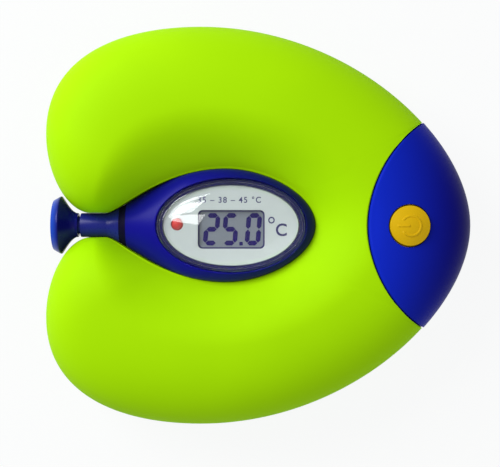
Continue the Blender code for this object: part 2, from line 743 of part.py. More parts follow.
def build_button(cover, colours):
    frame = button_frame()
    landing = -WALL
    flange_top = landing - CLEARANCE
    flange_low = flange_top - BUTTON_FLANGE_HEIGHT
    flange_radius = BUTTON_RADIUS + BUTTON_FLANGE
    stem_end = flange_low - BUTTON_STEM_LENGTH
    profile = [
        (0, stem_end),
        (BUTTON_STEM_RADIUS, stem_end),
        (BUTTON_STEM_RADIUS, BUTTON_SIDE_RISE - BUTTON_WALL),
        (BUTTON_RADIUS - BUTTON_WALL, BUTTON_SIDE_RISE - BUTTON_WALL),
        (BUTTON_RADIUS - BUTTON_WALL, flange_low),
        (flange_radius, flange_low),
        (flange_radius, flange_top),
        (BUTTON_RADIUS, flange_top),
        (BUTTON_RADIUS, 0.4 * BUTTON_SIDE_RISE),
    ]
    edge = 0.94 * BUTTON_RADIUS
    for k in range(4):
        r = edge * (1 - k / 4)
        profile.append((r, BUTTON_SIDE_RISE + (BUTTON_RISE - BUTTON_SIDE_RISE) * (1 - (r / edge) ** 2)))
    profile.append((0, BUTTON_RISE))
    to_object("on_off_button", turned(profile, WINDOW_SIDES), colours["yellow"], frame)

    seal_inner = flange_radius + CLEARANCE
    seal_outer = seal_inner + BUTTON_SEAL_WIDTH
    seal_low = landing - CLEARANCE - BUTTON_SEAL_HEIGHT
    to_object("button_seal", turned([
        (seal_inner, seal_low),
        (seal_outer, seal_low),
        (seal_outer, landing - CLEARANCE),
        (seal_inner, landing - CLEARANCE),
    ]), colours["rubber"], frame)

    collar_inner = seal_outer + CLEARANCE
    collar = cylinder(collar_inner + COLLAR_WALL, landing - COLLAR_HEIGHT, -0.8 * WALL)
    join(cover, to_object("button_collar", collar, parent=frame))
    socket = turned([
        (0, landing - 2 * COLLAR_HEIGHT),
        (collar_inner, landing - 2 * COLLAR_HEIGHT),
        (collar_inner, landing),
        (BUTTON_RADIUS + BUTTON_GAP, landing),
        (BUTTON_RADIUS + BUTTON_GAP, 2 * WALL),
        (0, 2 * WALL),
    ], WINDOW_SIDES)

    plunger_top = stem_end - CLEARANCE
    switch_top = plunger_top - PLUNGER_SHOWS
    switch_low = switch_top - SWITCH_HEIGHT
    plunger = cylinder(PLUNGER_RADIUS, plunger_top - PLUNGER_LENGTH, plunger_top)
    to_object("switch_plunger", plunger, colours["black"], frame)
    square = rounded_rectangle(SWITCH_SIDE / 2, SWITCH_SIDE / 2, SWITCH_CORNER, steps=2)
    switch = to_object("tact_switch", prism(square, switch_low, switch_top), colours["dark"], frame)
    well_floor = plunger_top - PLUNGER_LENGTH - BUTTON_TRAVEL - CLEARANCE
    well = cylinder(PLUNGER_RADIUS + CLEARANCE, well_floor, switch_top + WALL)
    cut(switch, to_object("switch_well", well, parent=frame))

    board_top = switch_low - CLEARANCE
    board_low = board_top - SWITCH_BOARD_THICKNESS
    half_width = switch_board_half_width()
    outline = rounded_rectangle(SWITCH_BOARD_LENGTH / 2, half_width, SWITCH_BOARD_ROUND, steps=2)
    board = to_object("switch_board", prism(outline, board_low, board_top), colours["board"], frame)
    tilt = frame.rotation_euler.y
    centre = float_height(1, BUTTON_X, 0.0, HEAD_PROUD)
    post_y = half_width - SWITCH_POST_INSET
    beside = float_height(1, BUTTON_X, post_y + SWITCH_POST_RADIUS, HEAD_PROUD)
    fall = (beside - centre) * math.cos(tilt)
    for number, side in enumerate((1, -1), 1):
        y = side * post_y
        post = cylinder(SWITCH_POST_RADIUS, board_top + CLEARANCE, fall - 0.5 * WALL, SMALL_SIDES)
        join(cover, to_object(f"switch_post_{number}", moved(post, y=y), parent=frame))
        hole = SMALL_SCREW_RADIUS + CLEARANCE
        pilot = cylinder(hole, board_top - WALL, board_top + SMALL_SCREW_GRIP + CLEARANCE, SMALL_SIDES)
        cut(cover, to_object(f"switch_pilot_{number}", moved(pilot, y=y), parent=frame))
        through = cylinder(hole, board_low - WALL, board_top + WALL, SMALL_SIDES)
        cut(board, to_object(f"board_hole_{number}", moved(through, y=y), parent=frame))
        seat = board_low - CLEARANCE
        length = board_top - seat + SMALL_SCREW_GRIP
        screw(
            f"board_screw_{number}", (0, y, seat), SMALL_SCREW_RADIUS, length,
            SMALL_HEAD_RADIUS, SMALL_HEAD_HEIGHT, colours["steel"], frame,
        )
    cut(cover, to_object("button_socket", socket, parent=frame))
    return frame, board_low


def ledge_top_up():
    return LENS_SEAT_UP - GASKET_THICKNESS - 2 * CLEARANCE


def build_case(blue, colours):
    ledge = ledge_top_up()
    upper = to_object("case_upper_shell", case_half(1), blue, sharp=40)
    cut(upper, to_object("case_upper_cavity", case_cavity(1, ledge - LEDGE_THICKNESS)))
    sight = ellipse(SIGHT_HALF_LENGTH, SIGHT_HALF_WIDTH, WINDOW_X)
    sight = prism(sight, MID_Z + WALL, MID_Z + ledge + WALL)
    recess = prism(ellipse(LENS_HALF_LENGTH + CLEARANCE, LENS_HALF_WIDTH + CLEARANCE, WINDOW_X),
                   MID_Z + ledge, MID_Z + 2 * CROWN_UP)
    cut(upper, to_object("sight_opening", sight), to_object("lens_recess", recess))

    depths = bay_depths()
    lower = to_object("case_lower_shell", case_half(-1), blue, sharp=40)
    floor_depth = CASE_SIDE_UP + CASE_DOME - CASE_WALL
    cavity = to_object("case_lower_cavity", case_cavity(-1, floor_depth))
    block = rounded_rectangle(
        bay_block_half_length(), DOOR_HALF_WIDTH + BAY_WALL, DOOR_HALF_WIDTH, (BAY_X, 0), 4
    )
    block = prism(block, MID_Z - 2 * CROWN_DOWN, MID_Z - depths["roof"] + BAY_ROOF)
    cut(cavity, to_object("bay_block", block))
    cut(lower, cavity)
    door_hole = stadium(DOOR_HALF_LENGTH + CLEARANCE, DOOR_HALF_WIDTH + CLEARANCE)
    cut(lower, to_object("door_recess", prism(door_hole, MID_Z - 2 * CROWN_DOWN, MID_Z - depths["seat"])))
    bay = stadium(CELL_SPACING / 2 + CELL_RADIUS + CLEARANCE, CELL_RADIUS + CLEARANCE)
    cut(lower, to_object("cell_bay", prism(bay, MID_Z - 2 * CROWN_DOWN, MID_Z - depths["roof"])))
    for number, (sx, sy) in enumerate(((1, 1), (1, -1), (-1, 1), (-1, -1)), 1):
        foot = MID_Z - depths["roof"] + 0.5 * BAY_ROOF
        post = cylinder(POST_RADIUS, foot, MID_Z + BOARD_UNDER_UP - CLEARANCE, SMALL_SIDES)
        place = (BAY_X + sx * POST_SPREAD_X, sy * POST_SPREAD_Y)
        join(lower, to_object(f"board_post_{number}", moved(post, *place)))
    cut(lower, lead_port("case_port"))
    room = SWITCH_LEAD_RADIUS + LEAD_CHANNEL_ROOM
    across = SWITCH_LEAD_SPACING / 2 + room
    channel = rounded_rectangle(room, across, SWITCH_LEAD_RADIUS, (lead_drop_x(), 0), 2)
    channel = prism(channel, MID_Z - PORT_DOWN - PORT_RADIUS, MID_Z + WALL)
    cut(lower, to_object("lead_channel", channel))
    build_battery_door(lower, blue, depths, colours)
    return upper, lower


def stadium(half_length, half_width, steps=5):
    return rounded_rectangle(half_length, half_width, half_width * 0.98, (BAY_X, 0), steps)


def lead_drop_x():
    """Where the button's leads go down between the battery bay and the front wall of the case."""
    return CASE_FRONT_X - CASE_WALL - LEAD_DROP_SETBACK


def bay_block_half_length():
    return DOOR_HALF_LENGTH + 0.7 * BAY_WALL


def bay_depths():
    """Depths below the parting plane of what is stacked in the battery bay."""
    contact = CELL_TOP_DOWN - CLEARANCE - CONTACT_THICKNESS
    cell_foot = CELL_TOP_DOWN + CELL_HEIGHT
    bridge = cell_foot + CLEARANCE
    door = bridge + CONTACT_THICKNESS + CLEARANCE
    return {
        "contact": contact,
        "roof": contact - CLEARANCE,
        "cell_foot": cell_foot,
        "bridge": bridge,
        "door": door,
        "seat": door - SEAL_THICKNESS - 2 * CLEARANCE,
    }


def build_battery_door(lower, blue, depths, colours):
    door = to_object("battery_door", case_half(-1), blue, sharp=40)
    outer = stadium(DOOR_HALF_LENGTH, DOOR_HALF_WIDTH)
    outline = prism(outer, MID_Z - 2 * CROWN_DOWN, MID_Z - depths["door"])
    keep_inside(door, to_object("door_outline", outline))
    inner = stadium(DOOR_HALF_LENGTH - SEAL_WIDTH, DOOR_HALF_WIDTH - SEAL_WIDTH)
    top = MID_Z - depths["seat"] - CLEARANCE
    seal = to_object("battery_door_seal", prism(outer, top - SEAL_THICKNESS, top), colours["rubber"])
    cut(seal, to_object("seal_opening", prism(inner, top - WALL, top + WALL)))
    hole = SMALL_SCREW_RADIUS + CLEARANCE
    face = MID_Z - DOOR_SCREW_FACE_DOWN
    for number, side in enumerate((1, -1), 1):
        x = BAY_X + side * DOOR_SCREW_SPREAD
        bore = turned([
            (0, -WALL),
            (SMALL_HEAD_RADIUS + CLEARANCE, -WALL),
            (SMALL_HEAD_RADIUS + CLEARANCE, face),
            (hole, face),
            (hole, face + DOOR_SCREW_LENGTH + CLEARANCE),
            (0, face + DOOR_SCREW_LENGTH + CLEARANCE),
        ], SMALL_SIDES)
        bore = to_object(f"door_bore_{number}", moved(bore, x=x))
        cut(door, bore)
        cut(lower, bore)
        screw(
            f"battery_door_screw_{number}", (x, 0, face - CLEARANCE), SMALL_SCREW_RADIUS,
            DOOR_SCREW_LENGTH, SMALL_HEAD_RADIUS, SMALL_HEAD_HEIGHT, colours["steel"],
        )


def build_batteries(colours):
    depths = bay_depths()
    for number, side in enumerate((-1, 1), 1):
        x = BAY_X + side * CELL_SPACING / 2
        low = MID_Z - depths["cell_foot"]
        step = 0.08 * CELL_HEIGHT
        cell = turned([
            (0, low),
            (0.97 * CELL_RADIUS, low),
            (CELL_RADIUS, low + step),
            (CELL_RADIUS, low + CELL_HEIGHT - 3 * step),
            (0.9 * CELL_RADIUS, low + CELL_HEIGHT - 2 * step),
            (0.8 * CELL_RADIUS, low + CELL_HEIGHT),
            (0, low + CELL_HEIGHT),
        ])
        to_object(f"coin_cell_{number}", moved(cell, x=x), colours["steel"])
        plate = rounded_rectangle(CONTACT_LENGTH / 2, CONTACT_WIDTH / 2, 0.8 * MM, (x, 0), 2)
        name = "battery_contact_minus" if side < 0 else "battery_contact_plus"
        top = MID_Z - depths["contact"]
        to_object(name, prism(plate, top - CONTACT_THICKNESS, top), colours["steel"])
    bridge = rounded_rectangle(BRIDGE_LENGTH / 2, CONTACT_WIDTH / 2, 0.8 * MM, (BAY_X, 0), 2)
    top = MID_Z - depths["bridge"]
    to_object("battery_bridge", prism(bridge, top - CONTACT_THICKNESS, top), colours["steel"])


def dome_levels(half_length, half_width, foot, rise, steps):
    """The loops of a dome from its foot to its pole."""
    levels = []
    for k in range(steps):
        a = math.pi / 2 * k / steps
        levels.append((half_length * math.cos(a), half_width * math.cos(a), foot + rise * math.sin(a)))
    return levels + [(0, 0, foot + rise)]


def build_window(colours):
    ledge = ledge_top_up()
    top = LENS_SEAT_UP + LENS_EDGE
    dome_length = LENS_HALF_LENGTH - LENS_FLANGE
    dome_width = LENS_HALF_WIDTH - LENS_FLANGE
    bevel = LENS_BEVEL * LENS_EDGE
    levels = [
        (0, 0, LENS_SEAT_UP),
        (LENS_HALF_LENGTH, LENS_HALF_WIDTH, LENS_SEAT_UP),
        (LENS_HALF_LENGTH, LENS_HALF_WIDTH, top - bevel),
        (LENS_HALF_LENGTH - bevel, LENS_HALF_WIDTH - bevel, top),
    ]
    levels += dome_levels(dome_length, dome_width, top, LENS_RISE, 5)
    lens = to_object("lens_window", stacked_ellipses(levels, WINDOW_X), colours["clear"])
    hollow_length = dome_length - LENS_WALL
    hollow_width = dome_width - LENS_WALL
    hollow = [(0, 0, LENS_SEAT_UP - WALL), (hollow_length, hollow_width, LENS_SEAT_UP - WALL)]
    hollow += dome_levels(hollow_length, hollow_width, top, LENS_RISE - LENS_WALL, 3)
    cut(lens, to_object("lens_hollow", stacked_ellipses(hollow, WINDOW_X)))

    low = ledge + CLEARANCE
    gasket_inner = (SIGHT_HALF_LENGTH, SIGHT_HALF_WIDTH)
    to_object("lens_gasket", stacked_ellipses([
        (*gasket_inner, low),
        (LENS_HALF_LENGTH, LENS_HALF_WIDTH, low),
        (LENS_HALF_LENGTH, LENS_HALF_WIDTH, low + GASKET_THICKNESS),
        (*gasket_inner, low + GASKET_THICKNESS),
    ], WINDOW_X), colours["rubber"])

    face_low = MID_Z + FACE_TOP_UP - FACE_THICKNESS
    face_outline = ellipse(SIGHT_HALF_LENGTH - CLEARANCE, SIGHT_HALF_WIDTH - CLEARANCE, WINDOW_X)
    face = to_object("face_plate", prism(face_outline, face_low, MID_Z + FACE_TOP_UP), colours["silver"])
    window = rounded_rectangle(DISPLAY_WINDOW_LENGTH / 2, DISPLAY_WINDOW_WIDTH / 2, DISPLAY_WINDOW_ROUND,
                               (DISPLAY_X, DISPLAY_Y), 4)
    window = to_object("display_window", prism(window, face_low - WALL, MID_Z + FACE_TOP_UP + WALL))
    light_hole = cylinder(LIGHT_RADIUS + CLEARANCE, face_low - WALL, MID_Z + FACE_TOP_UP + WALL, 16)
    cut(face, window, to_object("light_hole", moved(light_hole, LIGHT_X, LIGHT_Y)))


def build_electronics(colours):
    board_low = MID_Z + BOARD_UNDER_UP
    board_top = board_low + BOARD_THICKNESS
    outline = outline_inside_case(BOARD_MARGIN, BOARD_REAR_X, BOARD_FRONT_X)
    to_object("main_board", prism(outline, board_low, board_top), colours["board"])

    chip = [(0, 0), (CHIP_RADIUS, 0)]
    chip += [(CHIP_RADIUS * math.cos(a), CHIP_HEIGHT * (0.15 + 0.85 * math.sin(a)))
             for a in [math.pi / 2 * k / 4 for k in range(4)]]
    chip.append((0, CHIP_HEIGHT))
    chip = moved(turned(chip, SMALL_SIDES), CHIP_X, 0, board_top + CLEARANCE)
    to_object("controller_chip", chip, colours["black"])

    glass_top = MID_Z + FACE_TOP_UP - FACE_THICKNESS - CLEARANCE
    glass_low = glass_top - DISPLAY_THICKNESS
    centre = (DISPLAY_X, DISPLAY_Y)
    glass = rounded_rectangle(DISPLAY_LENGTH / 2, DISPLAY_WIDTH / 2, 0.4 * MM, centre, 1)
    to_object("lcd_panel", prism(glass, glass_low, glass_top), colours["display"])
    strip_y = DISPLAY_Y - DISPLAY_WIDTH / 2 + STRIP_WIDTH / 2
    strip_half = DISPLAY_LENGTH / 2 - STRIP_END_MARGIN
    strip = rounded_rectangle(strip_half, STRIP_WIDTH / 2, 0.3 * MM, (DISPLAY_X, strip_y), 1)
    strip = prism(strip, board_top + CLEARANCE, glass_low - CLEARANCE)
    to_object("lcd_contact_strip", strip, colours["rubber"])

    foot = board_top + CLEARANCE
    body_top = MID_Z + LIGHT_TOP_UP - LIGHT_RADIUS
    light = [
        (0, foot),
        (LIGHT_RADIUS + LIGHT_FLANGE, foot),
        (LIGHT_RADIUS + LIGHT_FLANGE, foot + LIGHT_FLANGE_HEIGHT),
        (LIGHT_RADIUS, foot + LIGHT_FLANGE_HEIGHT),
    ]
    light += [(LIGHT_RADIUS * math.cos(a), body_top + LIGHT_RADIUS * math.sin(a))
              for a in [math.pi / 2 * k / 5 for k in range(5)]]
    light.append((0, MID_Z + LIGHT_TOP_UP))
    to_object("alarm_light", moved(turned(light, 14), LIGHT_X, LIGHT_Y), colours["red"])


def build_neck(blue, dark_blue, colours):
    spigot_rear = NECK_REAR_X - NECK_SPIGOT_LENGTH
    profile = [
        (NECK_BORE, spigot_rear),
        (NECK_SPIGOT_RADIUS, spigot_rear),
        (NECK_SPIGOT_RADIUS, NECK_REAR_X),
        (NECK_RADIUS - EDGE_BEVEL, NECK_REAR_X),
        (NECK_RADIUS, NECK_REAR_X + EDGE_BEVEL),
    ]
    steps = 5
    for k in range(steps + 1):
        x = CASE_NECK_X + (NECK_FRONT_X - CASE_NECK_X) * k / steps
        profile.append((case_half_width(x), x))
    profile += [
        (NECK_PLUG_RADIUS, NECK_FRONT_X),
        (NECK_PLUG_RADIUS, NECK_PLUG_FRONT_X),
        (NECK_BORE, NECK_PLUG_FRONT_X),
    ]
    to_object("neck_tube", along_x(turned(profile)), blue)

    rear = NECK_FRONT_X + CLEARANCE
    front = CASE_REAR_X - CLEARANCE
    inner = NECK_PLUG_RADIUS + CLEARANCE
    ring = [(inner, rear), (case_half_width(rear) - SEAL_RING_RECESS, rear)]
    ring.append((case_half_width((rear + front) / 2), (rear + front) / 2))
    ring += [(case_half_width(front) - SEAL_RING_RECESS, front), (inner, front)]
    to_object("neck_seal_ring", along_x(turned(ring)), colours["rubber"])

    bore = NECK_SPIGOT_RADIUS + CLEARANCE
    bore_rear = spigot_rear - CLEARANCE
    pocket = THERMISTOR_RADIUS + CLEARANCE
    pocket_rear = bore_rear - THERMISTOR_LENGTH - 2 * CLEARANCE
    knob = [(0, KNOB_REAR_X)]
    for k in range(1, 3):
        r = KNOB_FACE_RADIUS * k / 3
        knob.append((r, KNOB_REAR_X + 0.6 * (KNOB_FACE_X - KNOB_REAR_X) * (k / 3) ** 2))
    knob += [
        (KNOB_FACE_RADIUS, KNOB_FACE_X),
        (KNOB_RADIUS, KNOB_RIM_X - EDGE_BEVEL),
        (KNOB_RADIUS, KNOB_RIM_X),
    ]
    flare = bezier(
        (KNOB_RADIUS, KNOB_RIM_X),
        (KNOB_RADIUS - KNOB_RIM_PULL, KNOB_RIM_X + KNOB_CONE_PULL),
        (KNOB_WAIST_RADIUS + KNOB_WAIST_LENGTH, KNOB_FRONT_X - KNOB_WAIST_PULL),
        (KNOB_WAIST_RADIUS, KNOB_FRONT_X - KNOB_WAIST_LENGTH),
        steps=6,
    )
    knob += [(float(r), float(x)) for r, x in flare[1:]]
    knob += [
        (KNOB_WAIST_RADIUS, KNOB_FRONT_X),
        (bore, KNOB_FRONT_X),
        (bore, bore_rear),
        (pocket, bore_rear),
        (pocket, pocket_rear),
        (0, pocket_rear),
    ]
    to_object("probe_knob", along_x(turned(knob, 24)), dark_blue)

    bead_front = bore_rear - CLEARANCE
    bead = [(0, bead_front - THERMISTOR_LENGTH)]
    for k in range(1, 5):
        a = math.pi * k / 5
        bead.append((THERMISTOR_RADIUS * math.sin(a),
                     bead_front - THERMISTOR_LENGTH / 2 * (1 + math.cos(a))))
    bead.append((0, bead_front))
    to_object("thermistor", along_x(turned(bead, 12)), colours["black"])
    for number, side in enumerate((1, -1), 1):
        wire = cylinder(LEAD_RADIUS, bore_rear, BOARD_REAR_X - CLEARANCE, 10)
        to_object(f"sensor_lead_{number}", moved(along_x(wire), y=side * LEAD_SPACING), colours["copper"])


def lead(name, points, radius, material):
    """A wire along a smooth curve through the given points."""
    curve = bpy.data.curves.new(name, "CURVE")
    curve.dimensions = "3D"
    curve.bevel_depth = radius
    curve.bevel_resolution = 1
    curve.use_fill_caps = True
    curve.resolution_u = 1
    path = []
    extended = [2 * Vector(points[0]) - Vector(points[1])] + [Vector(p) for p in points]
    extended.append(2 * Vector(points[-1]) - Vector(points[-2]))
    for a, b, c, d in zip(extended, extended[1:], extended[2:], extended[3:]):
        for k in range(LEAD_STEPS):
            t = k / LEAD_STEPS
            path.append(0.5 * (2 * b + (c - a) * t + (2 * a - 5 * b + 4 * c - d) * t**2
                               + (3 * b - a - 3 * c + d) * t**3))
    path.append(Vector(points[-1]))
    spline = curve.splines.new("POLY")
    spline.points.add(len(path) - 1)
    for point, place in zip(spline.points, path):
        point.co = (*place, 1.0)
    made = bpy.data.objects.new(name, curve)
    curve.materials.append(material)
    bpy.context.scene.collection.objects.link(made)
    return made


def build_switch_leads(frame, board_low, colours):
    """Two wires from the main board, down through the ports and up to the button's board."""
    bpy.context.view_layer.update()
    end = frame.matrix_world @ Vector((-0.2 * SWITCH_BOARD_LENGTH, 0, board_low - CLEARANCE - 0.2 * MM))
    low = MID_Z - PORT_DOWN
    for number, (side, colour) in enumerate(((1, "red_wire"), (-1, "black")), 1):
        y = side * SWITCH_LEAD_SPACING / 2
        start_x = BOARD_FRONT_X + CLEARANCE + SWITCH_LEAD_RADIUS
        port_rear = CASE_FRONT_X - CASE_WALL
        port_front = HEAD_CUT_X - HEAD_CUT_RADIUS + WALL
        lead(f"switch_lead_{number}", [
            (start_x, y, MID_Z + BOARD_UNDER_UP + 0.5 * BOARD_THICKNESS),
            (lead_drop_x() - 3 * SWITCH_LEAD_RADIUS, y, MID_Z),
            (lead_drop_x(), y, MID_Z - 0.5 * PORT_DOWN),
            (port_rear, y, low + 0.4 * MM),
            (port_rear + WALL, y, low),
            (port_front - WALL, y, low),
            (port_front + WALL, y, low + 0.3 * MM),
            (end.x - 0.3 * MM, y, (low + end.z) / 2),
            (end.x, y, end.z),
        ], SWITCH_LEAD_RADIUS, colours[colour])


def main():
    clear_scene()
    green = plastic("soft_green", (0.42, 0.72, 0.01), 0.4)
    blue = plastic("gloss_blue", (0.02, 0.03, 0.42), 0.28)
    dark_blue = plastic("knob_blue", (0.03, 0.09, 0.55), 0.3)
    case_blue = plastic("case_blue", (0.015, 0.015, 0.28), 0.2)
    clear_blue = plastic("clear_blue", (0.02, 0.03, 0.3), 0.15, transmission=0.3)
    colours = {
        "yellow": plastic("button_yellow", (0.72, 0.44, 0.02), 0.4),
        "rubber": plastic("seal_rubber", (0.02, 0.02, 0.03), 0.7),
        "black": plastic("black_resin", (0.02, 0.02, 0.02), 0.5),
        "dark": plastic("switch_housing", (0.05, 0.05, 0.06), 0.5),
        "steel": plastic("steel", (0.6, 0.6, 0.62), 0.3, metallic=1.0),
        "copper": plastic("lead_insulation", (0.35, 0.2, 0.1), 0.5),
        "red_wire": plastic("red_insulation", (0.5, 0.03, 0.02), 0.5),
        "board": plastic("circuit_board", (0.03, 0.2, 0.08), 0.5),
        "clear": plastic("clear_plastic", (0.95, 0.97, 1.0), 0.05, transmission=1.0),
        "silver": plastic("silver_face", (0.55, 0.57, 0.56), 0.35, metallic=0.3),
        "display": plastic("display_glass", (0.3, 0.32, 0.36), 0.1),
        "red": plastic("red_light", (0.7, 0.05, 0.04), 0.2),
    }
    build_float(green, colours["steel"])
    cover, _ = build_head(blue, colours["steel"])
    frame, board_low = build_button(cover, colours)
    build_case(case_blue, colours)
    build_batteries(colours)
    build_window(colours)
    build_electronics(colours)
    build_neck(clear_blue, dark_blue, colours)
    build_switch_leads(frame, board_low, colours)


main()
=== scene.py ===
# %% [markdown]
# # A floating bath thermometer
#
# The real object is a hollow two-lobed float of lime-green plastic. A dark blue case sits in its
# opening with a clear window over a small display, a blue cover with a yellow button closes the
# nose, and a turned neck ends in a probe knob between the lobes.
#
# The solids from CAD are already here as a fixed frame. This notebook gives each visible piece the
# smooth surface, the finish and the small print that a render needs, and leaves the hidden pieces
# as they are.

# %% The frame
import math

import bmesh
import bpy
import numpy as np
from mathutils import Matrix, Vector


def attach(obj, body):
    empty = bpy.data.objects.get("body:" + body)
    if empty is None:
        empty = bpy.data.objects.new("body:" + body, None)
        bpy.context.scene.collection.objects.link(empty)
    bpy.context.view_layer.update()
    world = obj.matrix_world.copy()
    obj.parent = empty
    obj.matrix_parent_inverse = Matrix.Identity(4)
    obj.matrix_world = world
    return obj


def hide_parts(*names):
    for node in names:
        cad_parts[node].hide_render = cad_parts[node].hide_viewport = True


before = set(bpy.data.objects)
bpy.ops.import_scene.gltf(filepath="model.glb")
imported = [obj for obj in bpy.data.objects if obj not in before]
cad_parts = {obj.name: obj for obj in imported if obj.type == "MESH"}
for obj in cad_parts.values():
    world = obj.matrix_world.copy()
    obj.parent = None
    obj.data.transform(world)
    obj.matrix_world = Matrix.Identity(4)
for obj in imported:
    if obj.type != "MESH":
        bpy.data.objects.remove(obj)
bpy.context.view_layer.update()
print("nodes:", len(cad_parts))

# %% [markdown]
# ## Camera
#
# The photograph looks straight down, with the window in the middle. A pixel is 0.26 mm at the
# height of the parting plane, so 500 of them are 130 mm, and a camera 252 mm above that plane needs
# a lens of 69.8 mm on a 36 mm sensor. The camera hung over the display and not over the middle of
# the picture, as the lean of the high parts shows, and a shift of the lens keeps the frame.

# %% Camera
MM = 0.001
MID_Z = 14.0 * MM
SIGHT_HEIGHT = 252.0 * MM
PICTURE_WIDTH = 130.0 * MM
PICTURE_X, PICTURE_Y = -2.1 * MM, -2.2 * MM
CAMERA_X, CAMERA_Y = -7.5 * MM, 3.0 * MM

optics = bpy.data.cameras.new("camera")
optics.shift_x = (PICTURE_X - CAMERA_X) / PICTURE_WIDTH
optics.shift_y = (PICTURE_Y - CAMERA_Y) / PICTURE_WIDTH
optics.sensor_width = 36.0
optics.lens = optics.sensor_width * SIGHT_HEIGHT / PICTURE_WIDTH
optics.clip_start = 0.01
optics.clip_end = 50.0
camera = bpy.data.objects.new("camera", optics)
bpy.context.scene.collection.objects.link(camera)
camera.location = (CAMERA_X, CAMERA_Y, MID_Z + SIGHT_HEIGHT)
bpy.context.scene.camera = camera
bpy.context.scene.view_settings.view_transform = "Standard"
print(f"lens {optics.lens:.1f} mm")

# %% [markdown]
# ## Helpers for shapes
#
# Most pieces here are one of three kinds. A moulded skin is a flat grid whose points are moved to
# their places on the surface. A turned piece is a profile that `spin` carries round an axis. A
# stack of ellipses is such a grid wrapped round, with one row for each ellipse. Three helpers cover
# them, and a fourth turns a finished bmesh into a piece that rides on its body.

# %% Finishing a mesh
MERGE = 0.0005 * MM


def mm(*points):
    """Points given in millimetres."""
    return [tuple(value * MM for value in point) for point in points]


def mesh_object(name, bm):
    """A linked object that holds the bmesh."""
    mesh = bpy.data.meshes.new(name)
    bm.to_mesh(mesh)
    bm.free()
    made = bpy.data.objects.new(name, mesh)
    bpy.context.scene.collection.objects.link(made)
    return made


def piece(name, bm, material, body="housing", sharp=32.0):
    """A finished piece from a bmesh: merged, facing out, smooth except across sharp edges."""
    bmesh.ops.remove_doubles(bm, verts=bm.verts, dist=MERGE)
    bmesh.ops.dissolve_degenerate(bm, dist=0.4 * MERGE, edges=bm.edges)
    bmesh.ops.recalc_face_normals(bm, faces=bm.faces)
    made = mesh_object(name, bm)
    made.data.shade_smooth()
    made.data.set_sharp_from_angle(angle=math.radians(sharp))
    made.data.materials.append(material)
    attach(made, body)
    print(f"{name}: {len(made.data.polygons)} faces")
    return made


# %% A moulded skin from a grid
def skin(columns, rows, place):
    """A grid of columns by rows whose points are moved to place(column, row)."""
    bm = bmesh.new()
    bmesh.ops.create_grid(bm, x_segments=columns, y_segments=rows, size=0.5)
    for vert in bm.verts:
        column = round((vert.co.x + 0.5) * columns)
        row = round((vert.co.y + 0.5) * rows)
        vert.co = place(column, row)
    return bm


def skin_through(sections):
    """A skin through sections that all have the same number of points."""
    return skin(len(sections) - 1, len(sections[0]) - 1, lambda column, row: sections[column][row])


def close_ends(bm):
    """Fills the loops that are still open once the seams of a skin are merged."""
    bmesh.ops.remove_doubles(bm, verts=bm.verts, dist=MERGE)
    open_edges = [edge for edge in bm.edges if edge.is_boundary]
    if open_edges:
        bmesh.ops.holes_fill(bm, edges=open_edges, sides=0)
    return bm


# %% A turned piece
def turned(profile, steps=96):
    """The profile of (radius, height) points spun once round the Z axis."""
    bm = bmesh.new()
    verts = [bm.verts.new((radius, 0.0, height)) for radius, height in profile]
    edges = [bm.edges.new(pair) for pair in zip(verts, verts[1:])]
    bmesh.ops.spin(
        bm, geom=verts + edges, axis=(0, 0, 1), cent=(0, 0, 0),
        angle=2 * math.pi, steps=steps, use_merge=True,
    )
    return bm


def lay_along_x(bm):
    """Turns a piece made round Z so that its axis is the long axis of the object."""
    turn = Matrix(((0, 0, 1), (0, 1, 0), (-1, 0, 0)))
    bmesh.ops.rotate(bm, verts=bm.verts, cent=(0, 0, 0), matrix=turn)
    bmesh.ops.translate(bm, verts=bm.verts, vec=(0, 0, MID_Z))
    return bm


# %% A stack of ellipses
def stack(levels, centre_x, sides):
    """Ellipses of (half length, half width, height) joined in a row, open at both ends."""
    def place(column, row):
        turn = 2 * math.pi * (column % sides) / sides
        half_length, half_width, height = levels[row]
        return Vector((
            centre_x + half_length * math.cos(turn), half_width * math.sin(turn), MID_Z + height,
        ))

    return skin(sides, len(levels) - 1, place)


def bezier(start, pull_start, pull_end, end, steps):
    t = np.linspace(0.0, 1.0, steps)[:, None]
    a, b, c, d = (np.array(point, dtype=float) for point in (start, pull_start, pull_end, end))
    return (1 - t) ** 3 * a + 3 * (1 - t) ** 2 * t * b + 3 * (1 - t) * t**2 * c + t**3 * d


def smooth_step(value, low, high):
    t = min(1.0, max(0.0, (value - low) / (high - low)))
    return t * t * (3 - 2 * t)


def quarter(steps):
    """Sine and cosine at even steps over a quarter of a turn."""
    angles = [math.pi / 2 * k / steps for k in range(steps + 1)]
    return [(math.sin(a), math.cos(a)) for a in angles]


# %% [markdown]
# ## Finishes
#
# All the plastics are moulded, so they share one recipe: a colour with a very slow cloud in it, a
# fine grain in the gloss and a finer one in the bump, all on Object coordinates in metres. What
# makes them different is the colour, how rough the tool's surface was and how strong the grain is.
# The nose cover, case and knob also carry painted shade, a colour that deepens along X.

# %% Nodes
def new_material(name):
    """A material with its node tree and its main shader."""
    made = bpy.data.materials.new(name)
    made.use_nodes = True
    return made, made.node_tree, made.node_tree.nodes["Principled BSDF"]


def feed(tree, node, inputs):
    """Gives each input of a node its value, or a link where the value is another node's output."""
    for key, value in inputs.items():
        if isinstance(value, bpy.types.NodeSocket):
            tree.links.new(value, node.inputs[key])
        else:
            node.inputs[key].default_value = value


def add_node(tree, kind, inputs=None, **settings):
    made = tree.nodes.new("ShaderNode" + kind)
    for key, value in settings.items():
        setattr(made, key, value)
    feed(tree, made, inputs or {})
    return made


